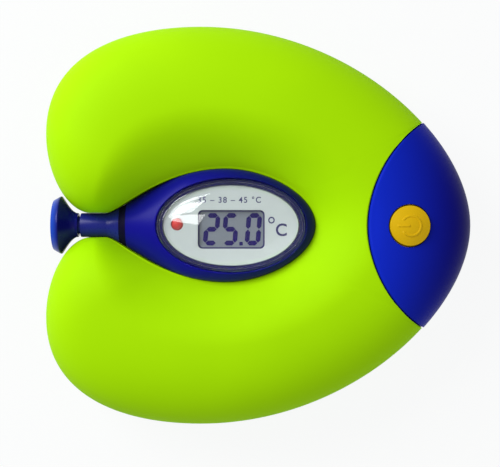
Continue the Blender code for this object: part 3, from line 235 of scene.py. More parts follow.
# %% A moulded plastic
def moulded(name, colour, deep, roughness, grain=0.12, grain_size=0.45, gloss=0.3, coat=0.0,
            painted_shade_x=None):
    """Plastic that goes from colour to a deeper shade in slow clouds, with fine tool grain.
    With painted_shade_x, painted shade deepens the colour along X between two places in
    millimetres, standing in for the side that turns from the light."""
    made, tree, shader = new_material(name)
    place = add_node(tree, "TexCoord").outputs["Object"]
    cloud = add_node(tree, "TexNoise", {"Scale": 38.0, "Detail": 2.0, "Vector": place})
    share = add_node(tree, "MapRange", {
        "Value": cloud.outputs["Fac"], "From Min": 0.35, "From Max": 0.75,
        "To Max": 0.06 if painted_shade_x else 1.0,
    }).outputs["Result"]
    # Painted shade: the colour deepens along X where the real part turns away from the light.
    if painted_shade_x:
        along = add_node(tree, "MapRange", {
            "Value": add_node(tree, "SeparateXYZ", {"Vector": place}).outputs["X"],
            "From Min": painted_shade_x[0] * MM, "From Max": painted_shade_x[1] * MM,
        }).outputs["Result"]
        cloud_and_painted_shade = add_node(tree, "Math", {0: along, 1: share}, operation="ADD", use_clamp=True)
        share = cloud_and_painted_shade.outputs[0]
    shade = add_node(tree, "Mix", {
        "A": (*colour, 1.0), "B": (*deep, 1.0), "Factor": share,
    }, data_type="RGBA")
    tool = add_node(tree, "TexNoise", {
        "Scale": 1.0 / (grain_size * MM), "Detail": 3.0, "Vector": place,
    }).outputs["Fac"]
    dull = add_node(tree, "MapRange", {
        "Value": tool, "To Min": roughness - 0.05, "To Max": roughness + 0.07,
    })
    bump = add_node(tree, "Bump", {"Strength": grain, "Distance": 0.03 * MM, "Height": tool})
    feed(tree, shader, {
        "Base Color": shade.outputs["Result"], "Roughness": dull.outputs["Result"],
        "Normal": bump.outputs["Normal"], "Specular IOR Level": gloss,
        "Coat Weight": coat, "Coat Roughness": 0.12,
    })
    return made


lime = moulded("lime_float", (0.435, 0.855, 0.001), (0.415, 0.825, 0.001), 0.6, 0.1, gloss=0.04)
# Painted shade: the nose cover's blue darkens towards its far end, which turns from the light.
royal = moulded(
    "nose_blue", (0.005, 0.024, 0.60), (0.004, 0.001, 0.15), 0.42, grain=0.08, gloss=0.05,
    painted_shade_x=(29, 53),
)
# Painted shade: the case's blue darkens along X towards its front, which turns from the light.
navy = moulded(
    "case_blue", (0.006, 0.005, 0.29), (0.004, 0.007, 0.085), 0.34, grain=0.03, gloss=0.1,
    painted_shade_x=(-18, 11),
)
# Dark blue of the window's bedding ring; on the seam strip the same blue is painted shade for the
# gap.
ring_blue_and_painted_gap_shade = moulded(
    "window_ring_blue", (0.002, 0.001, 0.075), (0.001, 0.001, 0.06), 0.4, grain=0.05, gloss=0.02,
)
neck_blue = moulded("neck_blue", (0.014, 0.02, 0.24), (0.01, 0.014, 0.2), 0.28, 0.04, gloss=0.22)
# Painted shade: the knob's blue is light on the lit outer side of its rim and dark beyond it.
knob_blue = moulded(
    "knob_blue", (0.012, 0.065, 0.52), (0.004, 0.004, 0.17), 0.24, grain=0.04, gloss=0.2,
    painted_shade_x=(-52.3, -50.9),
)
amber = moulded("button_yellow", (0.76, 0.47, 0.004), (0.72, 0.43, 0.003), 0.45, gloss=0.1)
rubber = moulded("seal_rubber", (0.005, 0.003, 0.03), (0.004, 0.002, 0.02), 0.55, 0.2, gloss=0.08)
silver = moulded(
    "silver_face", (0.505, 0.55, 0.525), (0.475, 0.52, 0.495), 0.38, grain=0.05, grain_size=0.2,
    gloss=0.4,
)
resin = moulded("black_resin", (0.012, 0.012, 0.014), (0.008, 0.008, 0.01), 0.45)
board_green = moulded("circuit_board", (0.02, 0.16, 0.06), (0.015, 0.12, 0.045), 0.4, grain=0.3)
print("plastics:", len(bpy.data.materials))


# %% [markdown]
# ## The float's form
#
# Seen from above, half of the float's edge is three Bezier curves: the long side from the nose to
# the widest place, the shoulder, and the turn of the lobe that ends beside the neck. Seen in
# section, the skin rises from a low lip round the case to a crown and falls to the parting plane in
# a full, slightly square curve. These are the named values of the CAD model, with a closer fit to
# the case and longer lobe tips, so that the fine skin lies on its solids.

# %% Outlines
CLEARANCE = 0.3 * MM
FIT = 0.08 * MM
NECK_RADIUS = 3.12 * MM
CASE_CENTRE_X = -8.5 * MM
CASE_FRONT_X = 14.3 * MM
CASE_HALF_WIDTH = 14.3 * MM
CASE_NECK_X = -39.5 * MM
NOSE_X = 54.5 * MM
WIDEST_X = -14.8 * MM
HALF_WIDTH = 51.2 * MM
LOBE_END_X = -54.7 * MM
LOBE_END_Y = 23.7 * MM
LOBE_TIP_X = -44.2 * MM


def case_outline(steps=200):
    """Half of the case and neck seen from above, from the front end to the neck."""
    front = bezier(
        (CASE_FRONT_X, 0), (CASE_FRONT_X, 7.5 * MM),
        (CASE_CENTRE_X + 11.0 * MM, CASE_HALF_WIDTH), (CASE_CENTRE_X, CASE_HALF_WIDTH), steps,
    )
    rear = bezier(
        (CASE_CENTRE_X, CASE_HALF_WIDTH), (CASE_CENTRE_X - 16.4 * MM, CASE_HALF_WIDTH),
        (CASE_NECK_X + 3.85 * MM, NECK_RADIUS), (CASE_NECK_X, NECK_RADIUS), steps,
    )
    return np.vstack([front, rear[1:], [(CASE_NECK_X - 6.0 * MM, NECK_RADIUS)]])


def float_outline(steps=(200, 200, 200)):
    """Half of the float seen from above, from the nose round the lobe to its tip."""
    tip = np.array((LOBE_TIP_X, NECK_RADIUS + FIT))
    turn = math.radians(9.0)
    tip_pull = tip + 5.4 * MM * np.array((-math.cos(turn), math.sin(turn)))
    side = bezier(
        (NOSE_X, 0), (NOSE_X, 22.3 * MM), (WIDEST_X + 38.5 * MM, HALF_WIDTH),
        (WIDEST_X, HALF_WIDTH), steps[0],
    )
    shoulder = bezier(
        (WIDEST_X, HALF_WIDTH), (WIDEST_X - 21.9 * MM, HALF_WIDTH),
        (LOBE_END_X, LOBE_END_Y + 19.6 * MM), (LOBE_END_X, LOBE_END_Y), steps[1],
    )
    lobe = bezier(
        (LOBE_END_X, LOBE_END_Y), (LOBE_END_X, LOBE_END_Y - 10.6 * MM), tip_pull, tip, steps[2],
    )
    return np.vstack([side, shoulder[1:], lobe[1:]])


def polar(line):
    """Angle and distance of each point of an outline, from the case's centre."""
    angles = np.arctan2(line[:, 1], line[:, 0] - CASE_CENTRE_X)
    return angles, np.hypot(line[:, 0] - CASE_CENTRE_X, line[:, 1])


CASE_POLAR = polar(case_outline())
FLOAT_POLAR = polar(float_outline())
TIP_ANGLE = float(min(FLOAT_POLAR[0][-1], CASE_POLAR[0][-1]))


def reach(line, angle):
    return float(np.interp(abs(angle), line[0], line[1]))


print(f"lobe tips at {math.degrees(TIP_ANGLE):.1f} degrees")

# %% The section
CROWN_UP = 16.0 * MM
CROWN_DOWN = 14.0 * MM
NOSE_CROWN_UP = 14.2 * MM
LIP_UP = 6.5 * MM
LIP_ROUND = 0.25 * MM
LOBE_FALL_FROM = math.radians(148.0)
LOBE_END_SHARE = 0.16
CROWN_POWER = 2.25
PARTING_GAP = 0.3 * MM
PARTING_DEPTH = 0.6 * MM


def lobe_share(angle):
    """The part of the full height left at an angle: the section falls away round the lobe's end."""
    u = (abs(angle) - LOBE_FALL_FROM) / (TIP_ANGLE - LOBE_FALL_FROM)
    u = min(1.0, max(0.0, u))
    return LOBE_END_SHARE + (1 - LOBE_END_SHARE) * math.sqrt(1 - u * u)


def crown_height(side, angle):
    if side < 0:
        return CROWN_DOWN
    rise = smooth_step(abs(angle), math.radians(5), math.radians(75))
    return NOSE_CROWN_UP + (CROWN_UP - NOSE_CROWN_UP) * rise


def over_the_top(angle, side, grow=0.0, count=400):
    """The section's curve from the lip over the crown to the rim, as distances and heights."""
    share = lobe_share(angle)
    inner = reach(CASE_POLAR, angle) + FIT
    outer = reach(FLOAT_POLAR, angle) + grow
    height = crown_height(side, angle)
    top = height * share + grow
    lip = min(LIP_UP * share, 0.75 * height * share)
    flat = (0.42, 0.42) if side > 0 else (0.36, 0.56)
    first = inner + flat[0] * (outer - inner)
    last = inner + flat[1] * (outer - inner)
    start = inner + LIP_ROUND
    t = np.linspace(0, 1, count)
    rise = (start + (first - start) * t, lip + (top - lip) * np.sin(t * math.pi / 2))
    a = np.linspace(0, math.pi / 2, count)[1:]
    fall = (
        last + (outer - last) * np.sin(a) ** (2 / CROWN_POWER),
        top * np.maximum(np.cos(a), 0) ** (2 / CROWN_POWER),
    )
    return np.concatenate([rise[0], fall[0]]), np.concatenate([rise[1], fall[1]]), inner, lip


distances, heights, _, _ = over_the_top(math.radians(90), 1)
print(f"crown {heights.max() / MM:.1f} mm over the parting plane, {distances[-1] / MM:.1f} mm out")

# %% [markdown]
# ## Where the nose cover ends
#
# The seam between float and nose cover is an upright cut by a cylinder in front of the nose. Each
# section of the skin is cut at the distance where it meets that cylinder. The points of a section
# are shared out evenly over what is left of it, so the seam is one clean row of points and its edge
# can be rounded with a few more rows.

# %% The cut
SEAM_X = 56.8 * MM
SEAM_RADIUS = 30.0 * MM
SEAM_GAP = 0.27 * MM


def seam_distance(angle, radius):
    """Distance from the case's centre to the seam at an angle, or None where there is no seam."""
    across = (SEAM_X - CASE_CENTRE_X) * math.sin(angle)
    if abs(across) >= radius:
        return None
    return (SEAM_X - CASE_CENTRE_X) * math.cos(angle) - math.sqrt(radius**2 - across**2)


def seam_end(radius, grow=0.0):
    """The angle at which the seam meets the outer edge."""
    for angle in np.linspace(0, math.radians(30), 6000):
        distance = seam_distance(angle, radius)
        if distance is None or distance >= reach(FLOAT_POLAR, angle) + grow:
            return float(angle)
    return math.radians(30)


def place_on(angle, distance, height, side):
    return Vector((
        CASE_CENTRE_X + distance * math.cos(angle),
        distance * math.sin(angle),
        MID_Z + side * height,
    ))


print(f"seam ends at {math.degrees(seam_end(SEAM_RADIUS + SEAM_GAP)):.1f} degrees")


# %% [markdown]
# ## Float shells
#
# The upper and lower shells meet at the parting plane with a fine shadow gap. Behind it the lower
# one steps up, so that nothing is seen through it. Each is a grid wrapped into a tube: along it the
# angle goes from one lobe tip round the nose to the other, and round it the section goes from the
# foot of the inner wall over the crown to the rim and back along the parting plane.

# %% Rows of one section
SURFACE_ROWS = 60
LAST_ROWS = 6
EDGE_ROUND = 0.35 * MM


def rounded_lip(inner, lip):
    """The small round between the wall beside the case and the rising skin."""
    return [(inner + LIP_ROUND * (1 - c), lip - LIP_ROUND * (1 - s)) for s, c in quarter(4)]


def resample(distances, heights, low, count=SURFACE_ROWS):
    """The curve at evenly spaced places along its length, kept above the parting plane."""
    steps = np.hypot(np.diff(distances), np.diff(heights))
    along = np.concatenate([[0.0], np.cumsum(steps)])
    wanted = np.linspace(0.0, along[-1], count)
    return [
        (float(d), max(float(h), low))
        for d, h in zip(np.interp(wanted, along, distances), np.interp(wanted, along, heights))
    ]


def parting_face(first, last, side):
    """The face at the parting plane, from the rim inwards. In the lower half it steps up."""
    low = PARTING_GAP / 2
    inward = last - min(PARTING_DEPTH, 0.5 * (last - first))
    face = low if side > 0 else -0.9 * low
    return [(last, low), (inward, low), (inward, face), (first, face)]


def float_ring(angle, side):
    """One closed section of a float shell.
    Its last rows follow the skin down to the rim, or round the edge and down the seam's wall."""
    low = PARTING_GAP / 2
    distances, heights, inner, lip = over_the_top(angle, side)
    cut = seam_distance(angle, SEAM_RADIUS + SEAM_GAP)
    cut_here = cut is not None and cut < distances[-1] and abs(angle) < math.radians(30)
    edge = cut if cut_here else float(distances[-1])
    turn = edge - EDGE_ROUND
    top = float(np.interp(turn, distances, heights))
    keep = distances < turn
    surface = resample(np.append(distances[keep], turn), np.append(heights[keep], top), low)
    parting = parting_face(inner, edge, side)
    ring = parting[-1:] + rounded_lip(inner, lip) + surface
    if cut_here:
        ring += [
            (turn + EDGE_ROUND * s, max(low, top - EDGE_ROUND * (1 - c)))
            for s, c in quarter(LAST_ROWS)[1:]
        ]
        foot = ring[-1][1]
        ring += [(edge, low + (foot - low) * (1 - k / LAST_ROWS)) for k in range(1, LAST_ROWS)]
    else:
        rim = np.append(distances[~keep], edge)
        falls = np.append(heights[~keep], 0.0)
        rest = resample(np.insert(rim, 0, turn), np.insert(falls, 0, top), low, 2 * LAST_ROWS + 1)
        ring += rest[1:-1]
    return ring + parting


def stations(end, corner, steps):
    """Angles between both ends, close together where the outline turns and beside the seam."""
    near = [math.radians(d) for d in (0.015, 0.06, 0.14, 0.28, 0.5, 0.8, 1.2)]
    angles = [float(a) for a in polar(float_outline(steps))[0] if a < end]
    angles = [a for a in angles if not corner - 1.5 * near[-1] < a < corner + near[3]]
    angles = sorted(angles + [corner] + [corner - d for d in near] + [end])
    return [-a for a in reversed(angles[1:])] + angles


print("points in a section:", len(float_ring(1.5, 1)))

# %% Shells
def float_shell(side):
    angles = stations(TIP_ANGLE, seam_end(SEAM_RADIUS + SEAM_GAP), (56, 40, 48))
    return close_ends(skin_through(
        [[place_on(a, d, h, side) for d, h in float_ring(a, side)] for a in angles]
    ))


upper_float = piece("upper_float", float_shell(1), lime, sharp=40)
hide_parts("upper_float_shell")

# %% [markdown]
# The lower shell has four deep bores for the screws that hold the halves together. They are cut
# with a Boolean, which keeps their round edges clean on a curved skin.

# %% Cutting bores
def bore(name, places, steps):
    """A cutter of turned bores: steps are (radius, height) pairs from below."""
    bm = bmesh.new()
    for x, y in places:
        drill = turned([(0, steps[0][1])] + list(steps) + [(0, steps[-1][1])], 40)
        bmesh.ops.translate(drill, verts=drill.verts, vec=(x, y, 0))
        scratch = bpy.data.meshes.new("scratch")
        bmesh.ops.remove_doubles(drill, verts=drill.verts, dist=0.001 * MM)
        bmesh.ops.recalc_face_normals(drill, faces=drill.faces)
        drill.to_mesh(scratch)
        drill.free()
        bm.from_mesh(scratch)
        bpy.data.meshes.remove(scratch)
    return mesh_object(name, bm)


def cut_away(target, cutter, sharp=40.0):
    """Cuts the cutter out of the target and keeps the result as the target's own mesh."""
    step = target.modifiers.new("cut", "BOOLEAN")
    step.operation = "DIFFERENCE"
    step.solver = "EXACT"
    step.object = cutter
    bpy.context.view_layer.update()
    graph = bpy.context.evaluated_depsgraph_get()
    result = bpy.data.meshes.new_from_object(target.evaluated_get(graph))
    target.modifiers.clear()
    old = target.data
    target.data = result
    bpy.data.meshes.remove(old)
    bpy.data.objects.remove(cutter, do_unlink=True)
    result.shade_smooth()
    result.set_sharp_from_angle(angle=math.radians(sharp))
    print(f"{target.name}: {len(result.polygons)} faces after the cut")


SHELL_SCREWS = mm((-27.0, 30.0), (-27.0, -30.0), (13.5, 28.5), (13.5, -28.5))
SCREW_BORE = mm((3.1, -2), (3.1, 0), (2.7, 0.4), (2.7, 3.2), (1.55, 3.2), (1.55, 12))
lower_float = piece("lower_float", float_shell(-1), lime, sharp=40)
cut_away(lower_float, bore("shell_bores", SHELL_SCREWS, SCREW_BORE))
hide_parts("lower_float_shell")

# %% [markdown]
# ## Nose cover
#
# The cover is moulded separately and stands 0.25 mm proud of the float, so its rounded edge catches
# a thin line of light all along the seam. It uses the same sections, from the seam outwards. A
# dark strip stands in the gap below the skin, so that the seam is not open to the floor. Its
# near-black blue is painted shade for the depth of the gap.

# %% Nose halves
COVER_PROUD = 0.25 * MM
COVER_ROUND = 0.8 * MM


def nose_ring(angle, side):
    """One closed section of the nose cover, from its wall at the seam to the rim."""
    low = PARTING_GAP / 2
    grow = COVER_PROUD if side > 0 else 0.0
    distances, heights, _, _ = over_the_top(angle, side, grow)
    cut = min(seam_distance(angle, SEAM_RADIUS) or distances[-1], distances[-1])
    begin = min(cut + COVER_ROUND, distances[-1])
    top = float(np.interp(begin, distances, heights))
    keep = distances > begin
    surface = resample(
        np.insert(distances[keep], 0, begin), np.insert(heights[keep], 0, top), low, 48,
    )
    parting = parting_face(cut, float(distances[-1]), side)
    edge = [
        (begin - (begin - cut) * c, max(low, top - (begin - cut) * (1 - s)))
        for s, c in quarter(6)[:-1]
    ]
    return parting[-1:] + edge + surface[:-1] + parting


def nose_half(side):
    grow = COVER_PROUD if side > 0 else 0.0
    corner = seam_end(SEAM_RADIUS, grow)
    shares = [s for s, _ in quarter(40)]
    angles = [-corner * s for s in reversed(shares[1:])] + [corner * s for s in shares]
    return close_ends(skin_through(
        [[place_on(a, d, h, side) for d, h in nose_ring(a, side)] for a in angles]
    ))


nose_cover = piece("nose_cover", nose_half(1), royal, sharp=40)
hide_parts("head_cover")
nose_base = piece("nose_base", nose_half(-1), royal, sharp=40)
HEAD_SCREWS = mm((37.26, 17.29), (37.26, -17.29))
cut_away(nose_base, bore("nose_bores", HEAD_SCREWS, SCREW_BORE))
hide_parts("head_base")

# %% Strip in the seam
STRIP_COLUMNS = 60
STRIP_DOWN = 0.5 * MM
STRIP_FREE = 0.02 * MM


def strip_place(turn, radius):
    """A point of the seam's circle and how far the skin is above and below it there."""
    x, y = SEAM_X - radius * math.cos(turn), radius * math.sin(turn)
    angle = math.atan2(y, x - CASE_CENTRE_X)
    distance = math.hypot(x - CASE_CENTRE_X, y)
    ends = []
    for side in (1, -1):
        distances, heights, _, _ = over_the_top(angle, side)
        ends.append(float(np.interp(distance, distances, heights, right=0.0)))
    return x, y, ends


STRIP_END = max(
    float(turn) for turn in np.linspace(0, math.pi / 2, 900)
    if strip_place(turn, SEAM_RADIUS)[2][0] > STRIP_DOWN
)


def strip_point(column, row):
    """The strip's closed section: outer face from top to bottom, then its inner face back up."""
    turn = STRIP_END * (2 * column / STRIP_COLUMNS - 1)
    radius = SEAM_RADIUS + (STRIP_FREE if row in (0, 1, 4) else SEAM_GAP - STRIP_FREE)
    x, y, (above, below) = strip_place(turn, radius)
    up = max(0.45 * above, above - STRIP_DOWN)
    down = max(0.45 * below, below - STRIP_DOWN)
    return Vector((x, y, MID_Z + (up if row in (0, 3, 4) else -down)))


# The strip's near-black blue is painted shade, standing for the depth of the seam's gap.
seam_strip = piece("seam_strip", close_ends(skin(STRIP_COLUMNS, 4, strip_point)), ring_blue_and_painted_gap_shade, sharp=40)

# %% [markdown]
# ## Display case
#
# The case is a slim pod that clips into the float. Its top is a low dome over straight sides, and
# towards the rear it thins to a round neck. A radial grid suits it: every column starts at the
# window's recess and runs out over the dome, so the recess and the outer edge are both clean rows.

# %% The case's surface
CASE_SIDE_UP = 6.2 * MM
CASE_DOME = 6.3 * MM
CASE_REAR_X = -34.0 * MM
CASE_SWELL_TO = -17.0 * MM
CASE_LINE = case_outline()
CASE_ORDER = np.argsort(CASE_LINE[:, 0])


def case_half_width(x):
    return float(np.interp(x, CASE_LINE[CASE_ORDER, 0], CASE_LINE[CASE_ORDER, 1]))


def case_height(x, y):
    """How far the case's skin is from the parting plane at a place seen from above."""
    width = case_half_width(x)
    swell = smooth_step(x, CASE_REAR_X, CASE_SWELL_TO)
    straight = max(CASE_SIDE_UP * swell, CLEARANCE)
    full = width * (1 - (1 - (CASE_SIDE_UP + CASE_DOME) / CASE_HALF_WIDTH) * swell)
    if x > CASE_CENTRE_X:
        along = min(1.0, (x - CASE_CENTRE_X) / (CASE_FRONT_X - CASE_CENTRE_X))
        full = CASE_SIDE_UP + CASE_DOME * math.sqrt(1 - along * along)
    share = min(1.0, abs(y) / max(width, 1e-9))
    return straight + max(0.0, full - straight) * math.sqrt(1 - share * share)


def case_rim(centre_x):
    """Angles and distances of the case's edge from a point on its axis, with its flat neck end."""
    side = CASE_LINE[CASE_LINE[:, 0] > CASE_REAR_X]
    half = case_half_width(CASE_REAR_X)
    end = [(CASE_REAR_X, half * (1 - k / 24)) for k in range(25)]
    line = np.vstack([side, end])
    out = line[:, 0] - centre_x
    return np.arctan2(line[:, 1], out), np.hypot(out, line[:, 1])


print(f"case {case_height(CASE_CENTRE_X, 0) / MM:.1f} mm over the parting plane")


# %% Openings in the case
def oval(half_length, half_width):
    """Distance from an ellipse's centre to its edge at an angle."""
    return lambda angle: half_length * half_width / math.hypot(
        half_width * math.cos(angle), half_length * math.sin(angle)
    )


def slot_shape(half_length, half_width):
    """Distance from the centre of a slot with round ends to its edge at an angle."""
    straight = half_length - half_width

    def distance(angle):
        across = abs(math.sin(angle))
        if straight * across >= half_width * abs(math.cos(angle)):
            return half_width / across
        return straight * abs(math.cos(angle)) + math.sqrt(half_width**2 - (straight * across) ** 2)

    return distance


def round_columns(rim, count=110):
    """Angles once round, spread evenly along the edge."""
    x, y = rim[1] * np.cos(rim[0]), rim[1] * np.sin(rim[0])
    along = np.concatenate([[0.0], np.cumsum(np.hypot(np.diff(x), np.diff(y)))])
    half = np.interp(np.linspace(0, along[-1], count), along, rim[0])
    return [float(a) for a in half] + [float(2 * math.pi - a) for a in half[-2::-1]]


def fold(angle):
    """The same direction between 0 and pi, because both sides of the case are alike."""
    return angle if angle <= math.pi else 2 * math.pi - angle


# %% One half of the case
CASE_WALL = 1.6 * MM
RECESS_EDGE = 0.22 * MM


def case_column(angle, centre_x, rim, hole, inside, side):
    """One closed column of the case: inside points, rounded edge, skin, side wall and back."""
    low = PARTING_GAP / 2
    end = float(np.interp(fold(angle), rim[0], rim[1]))
    start = hole(angle)

    def height(distance):
        return case_height(centre_x + distance * math.cos(angle), distance * math.sin(angle))

    points = [(shape(angle), up) for shape, up in inside]
    top = height(start + RECESS_EDGE)
    points += [
        (start + RECESS_EDGE * (1 - c), top - RECESS_EDGE * (1 - s)) for s, c in quarter(4)
    ]
    for s, _ in quarter(40)[1:]:
        distance = start + RECESS_EDGE + (end - start - RECESS_EDGE) * s
        points.append((distance, max(low, height(distance))))
    foot = points[-1][1]
    points += [(end, low + (foot - low) * (1 - k / 6)) for k in range(1, 7)]
    points += [(end - CASE_WALL, low), (end - CASE_WALL, 0.5 * foot + low), points[0]]
    return [
        Vector((centre_x + d * math.cos(angle), d * math.sin(angle), MID_Z + side * h))
        for d, h in points
    ]


def case_half(centre_x, hole, inside, side):
    rim = case_rim(centre_x)
    return skin_through(
        [case_column(a, centre_x, rim, hole, inside, side) for a in round_columns(rim)]
    )


WINDOW_X = -7.1 * MM
LEDGE_UP = 7.3 * MM
LEDGE_LOW = 6.0 * MM
SIGHT = (17.1 * MM, 10.1 * MM)
RECESS = (18.9 * MM, 11.9 * MM)
case_top = piece("case_top", case_half(WINDOW_X, oval(*RECESS), [
    (oval(*SIGHT), LEDGE_LOW), (oval(*SIGHT), LEDGE_UP), (oval(*RECESS), LEDGE_UP),
], 1), navy, sharp=38)
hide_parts("case_upper_shell")

# %% [markdown]
# ## Underside of the case and battery door
#
# The underside has the same form, with a slot-shaped door over the cells. The door is a radial grid
# too, from a single point in its middle, and takes up the same curve. Its two screws sit in bores.

# %% Lower half and door
BAY_X = -7.5 * MM
DOOR = (16.4 * MM, 7.4 * MM)
DOOR_HOLE = slot_shape(16.7 * MM, 7.7 * MM)
DOOR_TOP_DOWN = 9.75 * MM
DOOR_SCREWS = [(BAY_X + 14 * MM, 0), (BAY_X - 14 * MM, 0)]
DOOR_BORE = [
    (1.8 * MM, -1 * MM), (1.8 * MM, MID_Z - 10.45 * MM),
    (1.1 * MM, MID_Z - 10.45 * MM), (1.1 * MM, MID_Z - 9 * MM),
]

case_base = piece("case_base", case_half(BAY_X, DOOR_HOLE, [
    (DOOR_HOLE, 7.6 * MM), (DOOR_HOLE, 8.2 * MM),
], -1), navy, sharp=38)
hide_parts("case_lower_shell")


def door_column(angle):
    """One column of the door, from the middle of its hidden face round its edge to its middle."""
    edge = slot_shape(*DOOR)(angle)

    def place(share, depth=None):
        x = BAY_X + share * edge * math.cos(angle)
        y = share * edge * math.sin(angle)
        return Vector((x, y, MID_Z - (case_height(x, y) if depth is None else depth)))

    inward = RECESS_EDGE / edge
    depth = MID_Z - place(1.0).z
    points = [place(0.0, DOOR_TOP_DOWN), place(1.0, DOOR_TOP_DOWN)]
    points += [place(1 - inward * (1 - c), depth - RECESS_EDGE * (1 - s)) for s, c in quarter(4)]
    return points + [place((1 - inward) * (1 - k / 24)) for k in range(25)]


door = piece(
    "door", skin_through([door_column(2 * math.pi * k / 144) for k in range(145)]), navy, sharp=38,
)
cut_away(door, bore("door_bores", DOOR_SCREWS, DOOR_BORE))
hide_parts("battery_door")

# %% [markdown]
# ## What lies under the window
#
# Under the clear dome a satin silver plate frames the display and the little alarm light. The plate
# is a thin ellipse with a rounded opening and a round hole. The openings are cut from a flat solid,
# and a very small bevel gives their edges the fine bright line of punched and painted plate.

# %% Silver plate
FACE = (16.8 * MM, 9.8 * MM)
FACE_LOW_UP = 6.4 * MM
FACE_TOP_UP = 7.2 * MM
DISPLAY_TOP = MID_Z + 6.1 * MM
DISPLAY_CENTRE = (-6.98 * MM, -0.97 * MM)
DISPLAY_HALF = (8.28 * MM, 4.62 * MM)
DISPLAY_CORNER = 1.15 * MM
LIGHT_PLACE = (-20.4 * MM, 0.3 * MM)
LIGHT_RADIUS = 1.4 * MM
CUT_LOW, CUT_HIGH = MID_Z + 5 * MM, MID_Z + 9 * MM


def raise_faces(bm, height):
    """Gives flat faces a thickness upwards."""
    made = bmesh.ops.extrude_face_region(bm, geom=bm.faces[:])["geom"]
    lifted = [item for item in made if isinstance(item, bmesh.types.BMVert)]
    bmesh.ops.translate(bm, verts=lifted, vec=(0, 0, height))
    bmesh.ops.recalc_face_normals(bm, faces=bm.faces)
    return bm


def rounded_plate(half_length, half_width, corner, centre, low, high, steps=10):
    """A flat plate with round corners between two heights."""
    bm = bmesh.new()
    bmesh.ops.create_grid(bm, x_segments=1, y_segments=1, size=1.0)
    bmesh.ops.scale(bm, verts=bm.verts, vec=(half_length, half_width, 1.0))
    bmesh.ops.bevel(
        bm, geom=bm.verts[:], offset=corner, offset_type="OFFSET", segments=steps,
        profile=0.5, affect="VERTICES", material=-1,
    )
    bmesh.ops.translate(bm, verts=bm.verts, vec=(*centre, low))
    return raise_faces(bm, high - low)


plate = piece("face_plate_fine", close_ends(stack(
    [(*FACE, FACE_LOW_UP), (*FACE, FACE_TOP_UP)], WINDOW_X, sides=192,
)), silver, sharp=30)
cut_away(plate, mesh_object("display_opening", rounded_plate(
    *DISPLAY_HALF, DISPLAY_CORNER, DISPLAY_CENTRE, CUT_LOW, CUT_HIGH,
)), sharp=30)
cut_away(plate, bore("light_hole", [LIGHT_PLACE], mm((1.5, 18), (1.5, 23))), sharp=30)
fine = plate.modifiers.new("punched_edge", "BEVEL")
fine.width = 0.1 * MM
fine.segments = 2
fine.limit_method = "ANGLE"
fine.angle_limit = math.radians(50)
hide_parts("face_plate")

# %% [markdown]
# ## Display
#
# The display is a grey glass with a thin dark line round it where it meets the plate; that line is
# a dark frame of painted shade at the edge of the plate's opening. Its figures are made of the same
# few six-sided bars, which lean a little to the right. They are dark indigo, as polarised figures
# are, and lie on the glass as a film would.

# %% Display glass
GLASS_GREY = (0.185, 0.205, 0.23)
BORDER_OUT = 0.15 * MM
BORDER_IN = 0.37 * MM

lcd_grey = moulded(
    "display_grey", GLASS_GREY, tuple(0.93 * c for c in GLASS_GREY), 0.28, grain=0.02,
    grain_size=0.12, gloss=0.5,
)
figure_ink = moulded(
    "figure_indigo", (0.01, 0.002, 0.1), (0.008, 0.002, 0.08), 0.35, grain=0.02, gloss=0.1,
)
# Indigo ink of the print; the display's dark frame uses it as painted shade.
print_and_painted_edge_shade = moulded("print_and_edge_shade_indigo", (0.03, 0.025, 0.12), (0.025, 0.02, 0.1), 0.45, grain=0.03)
glass = piece("display_glass_fine", rounded_plate(
    10.0 * MM, 6.2 * MM, 0.4 * MM, (-6.9 * MM, -1.05 * MM), MID_Z + 4.5 * MM, DISPLAY_TOP, steps=4,
), lcd_grey, sharp=30)
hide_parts("lcd_panel")

# The dark frame is painted shade along the edge of the plate's opening.
border = piece("display_border", rounded_plate(
    DISPLAY_HALF[0] + BORDER_OUT, DISPLAY_HALF[1] + BORDER_OUT, 1.2 * MM, DISPLAY_CENTRE,
    DISPLAY_TOP + 0.01 * MM, DISPLAY_TOP + 0.05 * MM,
), print_and_painted_edge_shade, sharp=30)
cut_away(border, mesh_object("border_opening", rounded_plate(
    DISPLAY_HALF[0] - BORDER_IN, DISPLAY_HALF[1] - BORDER_IN, 0.9 * MM, DISPLAY_CENTRE,
    CUT_LOW, CUT_HIGH,
)), sharp=30)

# %% Seven-segment figures
FIGURE_WIDTH = 3.85 * MM
FIGURE_HEIGHT = 7.75 * MM
BAR = 1.16 * MM
BAR_GAP = 0.07 * MM
LEAN = math.tan(math.radians(4.6))
FILM_LOW = DISPLAY_TOP + 0.02 * MM
FILM_THICK = 0.03 * MM
BARS = {"0": "abcdef", "2": "abged", "5": "afgcd"}


def bar_ends(letter):
    """The two ends of a bar in a figure whose lower left corner is at the origin."""
    left, right = BAR / 2, FIGURE_WIDTH - BAR / 2
    low, middle, high = BAR / 2, FIGURE_HEIGHT / 2, FIGURE_HEIGHT - BAR / 2
    return {
        "a": ((left, high), (right, high)), "g": ((left, middle), (right, middle)),
        "d": ((left, low), (right, low)), "f": ((left, middle), (left, high)),
        "e": ((left, low), (left, middle)), "b": ((right, middle), (right, high)),
        "c": ((right, low), (right, middle)),
    }[letter]


def add_bar(bm, start, end, origin):
    """One six-sided bar with pointed ends, as a raised flat face."""
    along = Vector((end[0] - start[0], end[1] - start[1]))
    step = along.normalized()
    side = Vector((-step.y, step.x)) * BAR / 2
    first = Vector(start) + step * BAR_GAP
    last = Vector(end) - step * BAR_GAP
    tip = step * BAR / 2
    ring = [
        first, first + tip + side, last - tip + side, last, last - tip - side, first + tip - side,
    ]
    return bm.faces.new([
        bm.verts.new((origin[0] + p.x + LEAN * p.y, origin[1] + p.y, FILM_LOW)) for p in ring
    ])


FIGURES_LOW = -4.82 * MM
POINT_X = -4.98 * MM
POINT = 0.85 * MM

